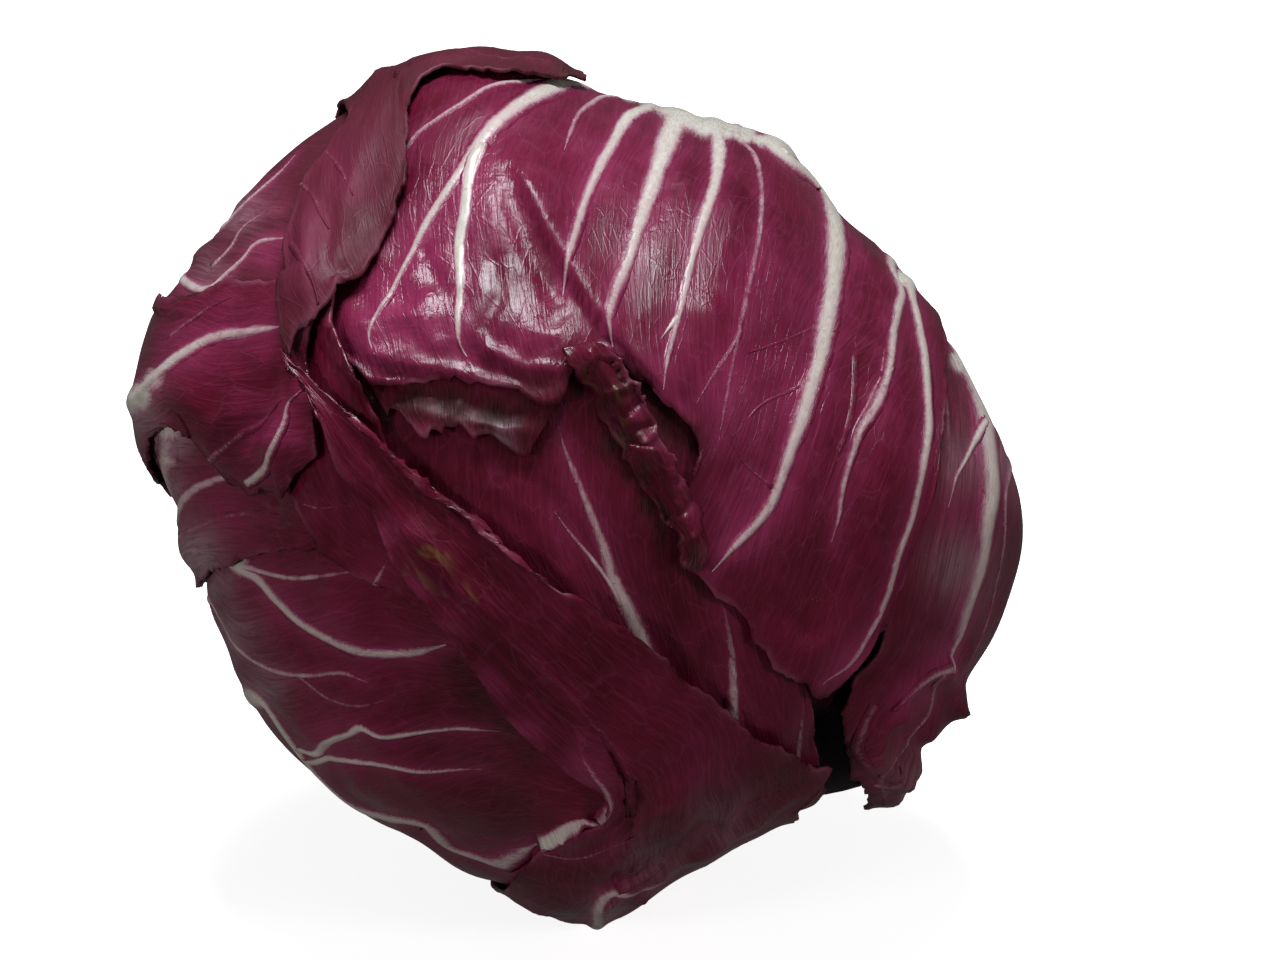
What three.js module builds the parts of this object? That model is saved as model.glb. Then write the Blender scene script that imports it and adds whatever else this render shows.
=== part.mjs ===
// A head of round red chicory (radicchio), lying on its side.
//
// Units are millimetres and +Z is up. The head's own axis runs from the cut butt
// at the back to the crown in front, and the crown looks a little upwards. Every
// leaf starts round the butt, wraps the head and ends in a free margin near the
// crown. The leaves are laid one over another from the heart outwards: each one
// drapes over all that lies below it, at a small clearance, as a thin closed solid.
//
// Places on the head are written in two ways:
//   [x, y]              mm across and up from the axis, seen straight at the crown.
//                       Past the girth the distance goes on along the surface.
//   { turn, dip }       degrees round the axis from +X, and degrees from the crown.

import * as THREE from 'three';

// ---- driving sizes, mm -------------------------------------------------------

const CROWN_LIFT = THREE.MathUtils.degToRad(25);   // how far the crown looks up
const REST_DROP = 63.5;                            // middle to the surface it rests on
const CENTRE = new THREE.Vector3(0.35, 1.81, REST_DROP);
const CROWN_DEPTH = 55;                            // middle to the heart's crown
const BUTT_DEPTH = 52;                             // middle to the heart's butt end
const BLADE = 0.9;                                 // leaf thickness
const CLEARANCE = 0.55;                            // least gap from leaf to leaf
const RIB_RISE = 0.9;                              // main ribs above the blade
const REST_STACK = 10;                             // leaves between heart and surface
const FLAT_BAND = 2.6;                             // what comes this near is pressed flat
const FREE_FROM = 0.45;                            // part of a blade below its free margin
const NOTCH = 0.6;                                 // depth of a notch, as a part of a tooth

// How a blade is laid: steps of the skin map, cells it bridges beside an edge, rounds
// of lifting it clear, and the lack of clearance that is let be, mm.
const CELL = THREE.MathUtils.degToRad(1.1);
const FOOT = 4;
const ROUNDS = 40;
const NEAR_ENOUGH = 0.02;

// The heart's girth: its radius each 15 degrees round the axis, from +X.
const GIRTH = [
  62.5, 58, 52.5, 52.5, 56, 54.7, 53.6, 62, 64, 63.5, 63.6, 64,
  53.6, 48.6, 54.5, 55.6, 54.6, 47.8, 58.8, 47.8, 48.8, 61, 61.8, 64,
];

// ---- the head's axes ---------------------------------------------------------

const ACROSS = new THREE.Vector3(1, 0, 0);
const UP = new THREE.Vector3(0, Math.sin(CROWN_LIFT), Math.cos(CROWN_LIFT));
const CROWN = new THREE.Vector3(0, -Math.cos(CROWN_LIFT), Math.sin(CROWN_LIFT));

const clamp = THREE.MathUtils.clamp;
const rad = THREE.MathUtils.degToRad;
const smooth = (t) => t * t * (3 - 2 * t);
const step = (a, b, x) => smooth(clamp((x - a) / (b - a), 0, 1));

// Catmull-Rom value between b and c.
function spline(a, b, c, d, t) {
  const bend = (3 * (b - c) + d - a) * t + 2 * a - 5 * b + 4 * c - d;
  return b + 0.5 * t * (c - a + t * bend);
}

// ---- the heart's surface -----------------------------------------------------

function girth(turn) {
  const n = GIRTH.length;
  const at = (((turn / (2 * Math.PI)) % 1) + 1) % 1 * n;
  const k = Math.floor(at);
  const pick = (i) => GIRTH[(i + n) % n];
  return spline(pick(k - 1), pick(k), pick(k + 1), pick(k + 2), at - k);
}

function direction(turn, dip) {
  return new THREE.Vector3()
    .addScaledVector(ACROSS, Math.sin(dip) * Math.cos(turn))
    .addScaledVector(UP, Math.sin(dip) * Math.sin(turn))
    .addScaledVector(CROWN, Math.cos(dip));
}

// Distance from the middle to the bare heart along a direction, pressed flat below.
// The flat runs into the round over PRESS_BLEND mm.
const DOWNWARD = -0.2;
const PRESS_BLEND = 1.5;

function bodyRadius(dir) {
  const x = dir.dot(ACROSS);
  const y = dir.dot(UP);
  const z = dir.dot(CROWN);
  const side = girth(Math.atan2(y, x));
  const depth = z > 0 ? CROWN_DEPTH : BUTT_DEPTH;
  const round = 1 / Math.hypot(Math.hypot(x, y) / side, z / depth);
  if (dir.z > DOWNWARD) return round;
  const pressed = (REST_DROP - REST_STACK) / -dir.z;
  const t = clamp(0.5 + 0.5 * (pressed - round) / PRESS_BLEND, 0, 1);
  return pressed + (round - pressed) * t - PRESS_BLEND * t * (1 - t);
}

// Direction of a written place, for a surface that lies `level` mm above the heart.
function place(at, level) {
  if (!Array.isArray(at)) return direction(rad(at.turn), rad(at.dip));
  const turn = Math.atan2(at[1], at[0]);
  const side = girth(turn) + level;
  const out = Math.hypot(at[0], at[1]);
  const past = Math.max(0, out - side) / side;
  const tau = past > 0 ? Math.PI / 2 + past : Math.asin(clamp(out / side, 0, 1));
  const depth = (tau > Math.PI / 2 ? BUTT_DEPTH : CROWN_DEPTH) + level;
  return direction(turn, Math.atan2(side * Math.sin(tau), depth * Math.cos(tau)));
}

// ---- the skin map ------------------------------------------------------------
// The distance from the middle to the outermost surface laid so far, kept for a
// grid of directions: the grid is flat, centred on the crown, and its distance
// from the centre is the dip.

const HALF = Math.ceil(Math.PI / CELL) + 2;
const WIDE = 2 * HALF + 1;
const skin = new Float64Array(WIDE * WIDE);
const skinDir = [];

for (let row = 0; row < WIDE; row += 1) {
  for (let col = 0; col < WIDE; col += 1) {
    const gx = (col - HALF) * CELL;
    const gy = (row - HALF) * CELL;
    const dir = direction(Math.atan2(gy, gx), Math.min(Math.hypot(gx, gy), Math.PI));
    skinDir.push(dir);
    skin[row * WIDE + col] = bodyRadius(dir) + CLEARANCE;
  }
}

function mapSpot(point) {
  const dip = Math.acos(clamp(point.dot(CROWN) / point.length(), -1, 1));
  const turn = Math.atan2(point.dot(UP), point.dot(ACROSS));
  return [dip * Math.cos(turn) / CELL + HALF, dip * Math.sin(turn) / CELL + HALF];
}

// Highest skin within a few cells of a direction.
function skinAround(dir, foot) {
  const [gx, gy] = mapSpot(dir).map(Math.round);
  let top = 0;
  for (let row = gy - foot; row <= gy + foot; row += 1) {
    for (let col = gx - foot; col <= gx + foot; col += 1) {
      if (row < 0 || col < 0 || row >= WIDE || col >= WIDE) continue;
      top = Math.max(top, skin[row * WIDE + col]);
    }
  }
  return top;
}

const edgeAB = new THREE.Vector3();
const edgeAC = new THREE.Vector3();
const facing = new THREE.Vector3();
const walls = [new THREE.Vector3(), new THREE.Vector3(), new THREE.Vector3()];

// Calls visit(cell, radius) for each skin cell that a triangle covers.
function overTriangle(a, b, c, visit) {
  const spots = [a, b, c].map(mapSpot);
  const low = [0, 1].map((k) => Math.floor(Math.min(spots[0][k], spots[1][k], spots[2][k])) - 1);
  const high = [0, 1].map((k) => Math.ceil(Math.max(spots[0][k], spots[1][k], spots[2][k])) + 1);
  facing.crossVectors(edgeAB.subVectors(b, a), edgeAC.subVectors(c, a));
  const lift = facing.dot(a);
  const turnWay = Math.sign(lift);
  walls[0].crossVectors(a, b).multiplyScalar(turnWay);
  walls[1].crossVectors(b, c).multiplyScalar(turnWay);
  walls[2].crossVectors(c, a).multiplyScalar(turnWay);
  for (let row = Math.max(0, low[1]); row <= Math.min(WIDE - 1, high[1]); row += 1) {
    for (let col = Math.max(0, low[0]); col <= Math.min(WIDE - 1, high[0]); col += 1) {
      const cell = row * WIDE + col;
      const dir = skinDir[cell];
      if (walls[0].dot(dir) < 0 || walls[1].dot(dir) < 0 || walls[2].dot(dir) < 0) continue;
      visit(cell, lift / facing.dot(dir));
    }
  }
}

// ---- laying one leaf ---------------------------------------------------------

// A written rail as evenly spaced directions from base to tip.
function railDirections(rail, level, count) {
  const knots = rail.map((at) => place(at, level));
  const curve = new THREE.CatmullRomCurve3(knots, false, 'centripetal');
  curve.arcLengthDivisions = 60;
  return Array.from({ length: count }, (_, i) => (
    curve.getPointAt(i / (count - 1)).normalize()));
}

// Columns of the blade: the rails, with plain columns between and a pair of foot
// columns close beside each rib.
function columnsOf(leaf) {
  const columns = [];
  leaf.rails.forEach((rail, k) => {
    const rib = leaf.ribs ? leaf.ribs[k] || 0 : 0;
    const foot = rib ? rib / leaf.spacing : 0;
    if (rib && k > 0) columns.push({ t: k - foot, crest: 0 });
    columns.push({ t: k, crest: rib ? 1 : 0 });
    if (rib && k < leaf.rails.length - 1) columns.push({ t: k + foot, crest: 0 });
    if (k === leaf.rails.length - 1) return;
    for (let n = 1; n <= leaf.between; n += 1) {
      columns.push({ t: k + n / (leaf.between + 1), crest: 0 });
    }
  });
  return columns.sort((p, q) => p.t - q.t);
}

function acrossRails(rails, i, t) {
  const k = Math.min(Math.floor(t), rails.length - 2);
  const pick = (n) => rails[clamp(n, 0, rails.length - 1)][i];
  const parts = [pick(k - 1), pick(k), pick(k + 1), pick(k + 2)];
  const axis = (name) => spline(...parts.map((p) => p[name]), t - k);
  return new THREE.Vector3(axis('x'), axis('y'), axis('z')).normalize();
}

// Raises that are the leaf's own: bumps at a place and folds on a line. They are
// written for the front, so they end a little behind the girth.
const FRONT_DIP = Math.PI / 2 + 0.3;

function ownLift(leaf, x, y, dip) {
  if (dip > FRONT_DIP) return 0;
  let lift = 0;
  for (const bump of leaf.bumps || []) {
    const far = Math.hypot(x - bump.at[0], y - bump.at[1]) / bump.reach;
    lift += bump.rise * Math.exp(-far * far);
  }
  for (const fold of leaf.folds || []) {
    let near = Infinity;
    for (let k = 0; k + 1 < fold.line.length; k += 1) {
      const [ax, ay] = fold.line[k];
      const [bx, by] = fold.line[k + 1];
      const along = clamp(((x - ax) * (bx - ax) + (y - ay) * (by - ay))
        / ((bx - ax) ** 2 + (by - ay) ** 2), 0, 1);
      near = Math.min(near, Math.hypot(x - ax - along * (bx - ax), y - ay - along * (by - ay)));
    }
    lift += fold.rise * Math.exp(-((near / fold.reach) ** 2));
  }
  return lift;
}

// A slow wave along and across a blade, growing towards its free margin.
function wave(leaf, i, j) {
  return leaf.wave * (i / (leaf.rows - 1)) * Math.sin(2.1 * j + 0.9 * i + leaf.level);
}

// Main ribs fade out where the head rests, so that it rests on blade alone.
function ribRise(dir) {
  return RIB_RISE * step(-0.97, -0.85, dir.z);
}

function layLeaf(leaf) {
  const rows = leaf.rows;
  const columns = columnsOf(leaf);
  const wide = columns.length;
  const rails = leaf.rails.map((rail) => railDirections(rail, leaf.level, rows));
  const dirs = [];
  const under = [];
  for (let i = 0; i < rows; i += 1) {
    for (let j = 0; j < wide; j += 1) {
      const dir = acrossRails(rails, i, columns[j].t);
      dirs.push(dir);
      under.push(skinAround(dir, FOOT) + CLEARANCE);
    }
  }

  // Teeth and waves of the free margins move the edge vertices over the surface.
  const nudge = (i, j, towards, size) => {
    const dir = dirs[i * wide + j];
    const away = dir.clone().sub(towards).normalize();
    dir.addScaledVector(away, size / under[i * wide + j]).normalize();
  };
  const tooth = leaf.tooth || 0;
  for (let j = 1; j < wide - 1 && leaf.toothed?.includes('tip'); j += 1) {
    nudge(rows - 1, j, dirs[(rows - 2) * wide + j].clone(), j % 2 ? tooth : -tooth * NOTCH);
  }
  for (let i = Math.floor(rows * FREE_FROM); i < rows - 1; i += 1) {
    const size = i % 2 ? tooth : -tooth * NOTCH;
    if (leaf.toothed?.includes('left')) nudge(i, 0, dirs[i * wide + 1].clone(), size);
    if (leaf.toothed?.includes('right')) {
      nudge(i, wide - 1, dirs[i * wide + wide - 2].clone(), size);
    }
  }

  // The blade bridges the steps below it smoothly.
  const at = (i, j) => under[clamp(i, 0, rows - 1) * wide + clamp(j, 0, wide - 1)];
  for (let pass = 0; pass < leaf.easing; pass += 1) {
    const eased = under.map((radius, n) => {
      const i = Math.floor(n / wide);
      const j = n % wide;
      const mean = (at(i - 1, j) + at(i + 1, j) + at(i, j - 1) + at(i, j + 1)) / 4;
      return Math.max(radius, (radius + mean) / 2);
    });
    eased.forEach((radius, n) => { under[n] = radius; });
  }
  for (let i = 0; i < rows; i += 1) {
    for (let j = 0; j < wide; j += 1) {
      const n = i * wide + j;
      const x = dirs[n].dot(ACROSS) * under[n];
      const y = dirs[n].dot(UP) * under[n];
      const dip = Math.acos(clamp(dirs[n].dot(CROWN), -1, 1));
      under[n] += Math.max(0, ownLift(leaf, x, y, dip) + wave(leaf, i, j));
    }
  }

  // Two triangles to each cell, the same split on both faces.
  const split = [];
  for (let i = 0; i + 1 < rows; i += 1) {
    for (let j = 0; j + 1 < wide; j += 1) {
      const a = i * wide + j;
      const corners = [a, a + 1, a + wide + 1, a + wide];
      if ((i + j) % 2) corners.push(corners.shift());
      split.push([corners[0], corners[1], corners[2]], [corners[0], corners[2], corners[3]]);
    }
  }

  // Triangles that still come too near the skin are lifted, each by what it lacks.
  const point = (n) => dirs[n].clone().multiplyScalar(under[n]);
  for (let round = 0; round < ROUNDS; round += 1) {
    let short = false;
    for (const corners of split) {
      let lack = 0;
      overTriangle(...corners.map(point), (cell, radius) => {
        lack = Math.max(lack, skin[cell] + CLEARANCE - radius);
      });
      if (lack < NEAR_ENOUGH) continue;
      short = true;
      corners.forEach((n) => { under[n] += lack * 0.7 + 0.01; });
    }
    if (!short) break;
  }

  // Outer face, pressed flat where it meets the surface the head rests on.
  const outer = [];
  const inner = [];
  for (let n = 0; n < dirs.length; n += 1) {
    const rise = columns[n % wide].crest * ribRise(dirs[n]);
    const top = dirs[n].clone().multiplyScalar(under[n] + BLADE + rise);
    if (leaf.rests && top.z + REST_DROP < FLAT_BAND) top.multiplyScalar(REST_DROP / -top.z);
    outer.push(top);
    inner.push(dirs[n].clone().multiplyScalar(Math.max(under[n], top.length() - BLADE - rise)));
  }
  for (const corners of split) {
    overTriangle(...corners.map((n) => outer[n]), (cell, radius) => {
      skin[cell] = Math.max(skin[cell], radius);
    });
  }
  return closedBlade(outer, inner, split, rows, wide);
}

// A closed solid from an outer and an inner face with the same triangles.
function closedBlade(outer, inner, split, rows, wide) {
  const count = outer.length;
  const faces = [];
  const [a, b, c] = split[0].map((n) => outer[n]);
  const flip = new THREE.Vector3().crossVectors(b.clone().sub(a), c.clone().sub(a)).dot(a) < 0;
  const add = (p, q, r) => faces.push(flip ? [p, r, q] : [p, q, r]);
  for (const [p, q, r] of split) {
    add(p, q, r);
    add(p + count, r + count, q + count);
  }
  const rim = [];
  for (let j = 0; j < wide - 1; j += 1) rim.push(j);
  for (let i = 0; i < rows - 1; i += 1) rim.push(i * wide + wide - 1);
  for (let j = wide - 1; j > 0; j -= 1) rim.push((rows - 1) * wide + j);
  for (let i = rows - 1; i > 0; i -= 1) rim.push(i * wide);
  rim.forEach((p, k) => {
    const q = rim[(k + 1) % rim.length];
    add(q, p, p + count);
    add(q, p + count, q + count);
  });
  return solidGeometry([...outer, ...inner], faces);
}

function solidGeometry(points, faces) {
  const geometry = new THREE.BufferGeometry();
  geometry.setAttribute('position', new THREE.Float32BufferAttribute(
    points.flatMap((p) => [p.x, p.y, p.z]), 3));
  geometry.setIndex(faces.flat());
  geometry.computeVertexNormals();
  return geometry;
}

// ---- the leaves, from the heart outwards -------------------------------------
// rails run from base to tip, in order across the blade; ribs gives the width of
// the rib on a rail; spacing is the usual distance between rails.

const butt = (turn, dip = 160) => ({ turn, dip });

const CENTRE_LEAF = {
  name: 'leaf_centre',
  level: 2, rows: 15, between: 2, spacing: 16, easing: 6, wave: 0.4,
  tooth: 1.2, toothed: ['tip'],
  rails: [
    [butt(250, 150), butt(254, 110), [-20, -44], [-31, -22], [-34, -5], [-31, 6], [-27, 12]],
    [butt(262, 150), butt(264, 110), [-6, -50], [-15, -24], [-19, -8], [-18, 2], [-16, 8]],
    [butt(276, 150), butt(278, 110), [12, -47], [7.4, -17.5], [2.2, -4.1], [-1.6, 5.4], [-3, 12]],
    [butt(288, 150), butt(290, 110), [26, -43], [20, -18], [15, -3], [10, 8], [5, 19]],
    [butt(300, 150), butt(302, 110), [35, -41], [31, -18], [27, -3], [22, 7], [17, 17]],
  ],
  ribs: [0, 0, 2, 0, 0],
  bumps: [{ at: [-16, 5], reach: 7, rise: 1.2 }],
};

const CURL_LEAF = {
  name: 'leaf_curl',
  level: 3.5, rows: 15, between: 3, spacing: 5, easing: 3, wave: 1.3,
  tooth: 0.9, toothed: ['tip', 'left', 'right'],
  rails: [
    [[-4, 26], [-1.5, 17], [2.6, 10], [6.5, 4], [10.5, -1], [16.2, -11]],
    [[3, 27], [4, 17.5], [7.5, 10.5], [11, 4.5], [14.5, -2], [17.6, -11.5]],
    [[12, 26], [11.5, 16], [14, 9], [16.5, 3], [19, -4], [20.5, -9]],
  ],
};

const CROWN_LEAF = {
  name: 'leaf_crown',
  level: 4.5, rows: 18, between: 1, spacing: 12, easing: 10, wave: 0.3,
  tooth: 0.8, toothed: ['tip'],
  rails: [
    [butt(104), butt(110, 130), butt(112, 105), [-30, 57], [-36, 50], [-39, 40], [-38, 28], [-33, 19]],
    [butt(93), butt(98, 130), butt(98, 105), [-6, 60], [-18, 50], [-26, 36], [-30, 24], [-27, 15]],
    [butt(84), butt(88, 130), butt(89, 105), [1, 60], [-9, 50], [-17, 34], [-17, 22], [-15, 14.5]],
    [butt(76), butt(80, 130), butt(80, 105), [9, 57], [4, 48], [-1, 34], [-3, 22], [-3, 12]],
    [butt(69), butt(73, 130), butt(73, 105), [15, 55.5], [10, 41], [6, 29], [5, 24], [4.8, 19.3]],
    [butt(62), butt(65, 130), butt(65, 105), [21, 53], [19, 40], [15, 26], [13, 17], [14, 10.5]],
    [butt(55), butt(57, 130), butt(57, 105), [28, 50], [27, 36], [24, 20], [21, 9], [18.5, 2]],
    [butt(48), butt(50, 130), butt(51, 105), [34, 46.5], [37, 28], [31.5, 5], [25, -6.5], [16, -11.5]],
    [butt(41), butt(43, 130), butt(43, 105), [41, 38], [43.5, 20], [39, 0], [33, -14], [25.5, -20.5]],
    [butt(34), butt(36, 130), butt(37, 105), [46, 32.5], [48, 16], [45, -3], [40, -18], [32, -29.5]],
    [butt(28), butt(31, 130), butt(32, 105), [49.5, 29], [51.8, 12], [49, -5], [45, -17], [39, -30.5]],
    [butt(23), butt(27, 130), butt(28, 105), [52, 27.5], [54, 11], [51.5, -5], [48, -14], [45.6, -20]],
  ],
  ribs: [0, 0, 1.6, 1.6, 2.4, 1.6, 0, 2.8, 1.2, 0, 1.4, 0],
  bumps: [{ at: [38, -24], reach: 7, rise: 1.6 }, { at: [20, -12], reach: 5, rise: 1.2 }],
  folds: [{ line: [[-7, 42], [-1, 32], [5, 23]], reach: 2.5, rise: 0.8 }],
};

const RIGHT_LEAF = {
  name: 'leaf_right',
  level: 3, rows: 17, between: 2, spacing: 9, easing: 8, wave: 0.4,
  tooth: 1.1, toothed: ['right', 'tip'],
  rails: [
    [butt(30), butt(36, 135), butt(37, 108), [43, 33], [45, 12], [43, -8], [42, -24], [41, -37]],
    [butt(20), butt(25, 135), butt(26, 108), [53, 25], [54.5, 8], [52, -9], [47, -27], [43, -47]],
    [butt(10), butt(13, 135), butt(14, 108), [59, 14.5], [61, 2], [58.5, -15], [53.5, -31], [44.5, -49.5]],
    [butt(0), butt(2, 135), butt(2, 108), [64.5, 3], [65.5, -6], [63, -19], [57.5, -32], [47, -47.5]],
    [butt(-10), butt(-9, 135), butt(-8, 112), butt(-10, 101), butt(-18, 98), butt(-28, 97),
      butt(-37, 96), butt(-43, 95)],
  ],
  ribs: [0, 0, 2.6, 0, 0],
  folds: [
    { line: [[54.6, -26.6], [51.5, -28], [48.1, -30.4], [46.9, -33.3]], reach: 1.8, rise: 1.6 },
    { line: [[44, -40], [48, -43], [51, -41]], reach: 1.8, rise: 1.2 },
  ],
  bumps: [{ at: [45, -48], reach: 7, rise: 3 }],
};

const LOWER_LEAF = {
  name: 'leaf_lower',
  level: 3, rows: 15, between: 2, spacing: 13, easing: 8, wave: 0.4,
  tooth: 0.8, toothed: ['tip'],
  rails: [
    [butt(190), butt(190, 135), butt(188, 108), [-61, -4], [-54, -5], [-45, -4], [-36, -3], [-28, -4]],
    [butt(203), butt(202, 135), butt(201, 108), [-54.5, -17.5], [-46, -15], [-37.5, -21.8], [-28, -24], [-18, -21]],
    [butt(215), butt(214, 135), butt(213, 108), [-47, -32], [-38, -28.5], [-28, -29], [-18, -28], [-7, -28]],
    [butt(228), butt(227, 135), butt(226, 108), [-39, -42], [-31, -39], [-22, -38], [-12, -37], [2, -38]],
    [butt(242), butt(241, 135), butt(240, 108), [-28.5, -49.5], [-22, -49], [-15, -46], [-8, -44], [5, -46]],
    [butt(254), butt(254, 135), butt(252, 110), [-18, -56], [-12, -56], [-6, -53], [0, -51], [4, -50]],
  ],
  ribs: [0, 1.7, 0.8, 0, 2.2, 0],
};

const SIDE_LEAF = {
  name: 'leaf_side',
  level: 4.5, rows: 13, between: 2, spacing: 14, easing: 8, wave: 0.5,
  tooth: 0.9, toothed: ['right', 'tip'],
  rails: [
    [butt(172), butt(170, 135), butt(172, 108), [-62, 14], [-55, 12], [-48, 8], [-42, 6], [-38, 5]],
    [butt(184), butt(182, 135), butt(180, 108), [-61, -4.5], [-57, -0.7], [-49, 1.5], [-42, -1], [-36, -1]],
    [butt(196), butt(194, 135), butt(190, 108), [-60, -11], [-57, -14.5], [-50.5, -11], [-43, -9], [-35.5, -8]],
  ],
  ribs: [0, 1.4, 0],
  bumps: [{ at: [-56, -11], reach: 5, rise: 1.5 }],
};

const LEFT_LEAF = {
  name: 'leaf_left',
  level: 6, rows: 14, between: 2, spacing: 13, easing: 8, wave: 0.5,
  tooth: 0.9, toothed: ['right'],
  rails: [
    [butt(158), butt(156, 135), butt(153, 108), [-60, 32], [-53, 34.5], [-48, 34], [-43, 32.5], [-39, 30]],
    [butt(168), butt(165, 135), butt(162, 108), [-64.5, 14.5], [-58, 20], [-50, 22.5], [-43, 23.5], [-36, 21]],
    [butt(178), butt(175, 135), butt(172, 108), [-65.5, 6], [-57, 12], [-49, 11], [-42, 11.5], [-36.5, 11]],
    [butt(188), butt(184, 135), butt(178, 108), [-61, 2], [-54.5, 4], [-48.5, -1], [-43, 0], [-37, 3.8]],
  ],
  ribs: [0, 1.8, 0, 0],
  bumps: [{ at: [-42, 4], reach: 5, rise: 1.3 }],
};

const STRAP_LEAF = {
  name: 'leaf_strap',
  level: 5.5, rows: 17, between: 2, spacing: 9, easing: 4, wave: 0.5,
  tooth: 0.6, toothed: ['left'],
  rails: [
    [butt(264, 150), butt(267, 115), [6, -58], [10, -46], [2, -34], [-13, -22], [-29, -14.3],
      [-37, -7], [-41, 1], [-42, 10], [-40.5, 19], [-38, 27]],
    [butt(272, 150), butt(276, 115), [12, -56], [15, -44], [7, -31], [-6, -19], [-20, -8],
      [-31, 1], [-36, 10], [-37.5, 19], [-36.5, 28]],
    [butt(280, 150), butt(284, 115), [18, -54], [21, -42], [13, -28], [0, -18.5], [-13, -9.5],
      [-25.7, 2.9], [-29.4, 13.8], [-33.2, 20.3], [-35, 29]],
  ],
  ribs: [0, 0, 0],
};

const FLAP_LEAF = {
  name: 'leaf_flap',
  level: 7.5, rows: 15, between: 2, spacing: 11, easing: 6, wave: 0.5,
  tooth: 1.3, toothed: ['tip'],
  rails: [
    [butt(165), butt(160, 135), butt(154, 108), [-58.5, 30.5], [-51, 32.5], [-46, 29], [-44, 24], [-42.3, 19.5]],
    [butt(156), butt(152, 135), butt(148, 108), [-54, 37], [-48, 38], [-43.5, 33], [-40.5, 28], [-37.5, 24.5]],
    [butt(147), butt(145, 135), butt(142, 108), [-50, 43], [-43, 43], [-38, 40], [-35, 37.5], [-32, 35]],
    [butt(138), butt(137, 135), butt(136, 108), [-43, 50], [-37.5, 50], [-33, 48], [-30, 46], [-27, 45]],
    [butt(129), butt(129, 135), butt(128, 108), [-36, 56], [-33, 56], [-30, 55.5], [-28, 54.5], [-26, 53]],
    [butt(119), butt(120, 135), butt(118, 108), [-28.5, 61.5], [-27, 61.5], [-26, 61.2], [-25.5, 60.8], [-25, 60.5]],
    [butt(108), butt(110, 135), butt(108, 108), [-15, 65.5], [-14.5, 65], [-14, 64], [-13.5, 63.2], [-13, 62.6]],
    [butt(98), butt(99, 135), butt(97, 108), [-3, 65.3], [-2, 64.6], [-1, 63.6], [0, 62.5], [1, 61.4]],
  ],
  ribs: [0, 1.2, 1.4, 0, 0, 0, 0, 0],
  bumps: [{ at: [-37, 33], reach: 9, rise: 1 }, { at: [-22, 62], reach: 9, rise: 1.5 }],
  folds: [{ line: [[-38, 48], [-41, 40], [-41.5, 32], [-41, 24]], reach: 2.6, rise: 1.4 }],
};

const BAND_LEAF = {
  name: 'leaf_band',
  rests: true,
  level: 7, rows: 20, between: 2, spacing: 12, easing: 6, wave: 0.4,
  tooth: 0.9, toothed: ['right'],
  rails: [
    [butt(246), butt(250, 135), butt(252, 110), [-17, -57.5], [-6, -53.5], [2.5, -50], [4.6, -46],
      [-3, -40.5], [-16.9, -24.7], [-26.9, -9.8], [-34.6, 3], [-39.6, 15]],
    [butt(257), butt(260, 135), butt(262, 110), [-8, -61], [2, -56], [9, -50], [10, -42], [0, -33],
      [-13, -20], [-24, -6], [-33.5, 6], [-40.2, 16]],
    [butt(268), butt(270, 135), butt(272, 110), [2.5, -65], [9, -58.5], [16, -51], [17, -42],
      [5, -30], [-9, -15.5], [-21.5, -2.5], [-32, 8.5], [-41, 17]],
    [butt(281), butt(284, 135), butt(286, 110), [16, -57.5], [22, -52], [27, -46], [24, -39],
      [11, -26.5], [-4, -16], [-18, -4], [-31, 8.5], [-41.6, 18]],
    [butt(295), butt(298, 135), butt(302, 110), [33, -47.5], [37, -46.5], [40, -44.8], [31, -39.5],
      [18, -30.3], [1.3, -17.4], [-14, -7], [-29, 6.5], [-42.1, 19.3]],
  ],
  ribs: [0, 0, 1.2, 0, 0],
  folds: [{ line: [[0.6, -37], [2.2, -42], [4.6, -46.7], [3.2, -49.1], [-5.4, -52.4]], reach: 2.5, rise: 1.6 }],
};

const BACK_LOW_LEAF = {
  name: 'leaf_back_low',
  level: 5, rows: 11, between: 2, spacing: 14, easing: 8, wave: 0.7,
  tooth: 1.2, toothed: ['tip'],
  rails: [
    [butt(293, 162), butt(297, 142), butt(301, 128), butt(303, 116)],
    [butt(308, 162), butt(309, 140), butt(312, 122), butt(314, 107)],
    [butt(322, 162), butt(323, 140), butt(324, 120), butt(326, 103)],
    [butt(337, 162), butt(338, 140), butt(338, 120), butt(338, 104)],
    [butt(352, 162), butt(353, 140), butt(352, 124), butt(351, 110)],
  ],
  ribs: [0, 1.6, 2.4, 1.6, 0],
};

const BACK_TOP_LEAF = {
  name: 'leaf_back_top',
  level: 6, rows: 11, between: 2, spacing: 14, easing: 8, wave: 0.7,
  tooth: 1.2, toothed: ['tip'],
  rails: [
    [butt(40, 162), butt(38, 142), butt(37, 128), butt(38, 118)],
    [butt(56, 162), butt(55, 140), butt(54, 124), butt(54, 112)],
    [butt(72, 162), butt(72, 140), butt(71, 124), butt(71, 110)],
    [butt(88, 162), butt(88, 140), butt(88, 124), butt(88, 111)],
    [butt(104, 162), butt(106, 142), butt(106, 128), butt(105, 116)],
  ],
  ribs: [0, 1.6, 2.4, 1.6, 0],
};

// Laid in this order, so each leaf lies over those before it.
const LEAVES = [
  CENTRE_LEAF, CURL_LEAF, RIGHT_LEAF, LOWER_LEAF, CROWN_LEAF, SIDE_LEAF, STRAP_LEAF,
  LEFT_LEAF, FLAP_LEAF, BAND_LEAF, BACK_LOW_LEAF, BACK_TOP_LEAF,
];

// ---- heart and butt ----------------------------------------------------------

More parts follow.
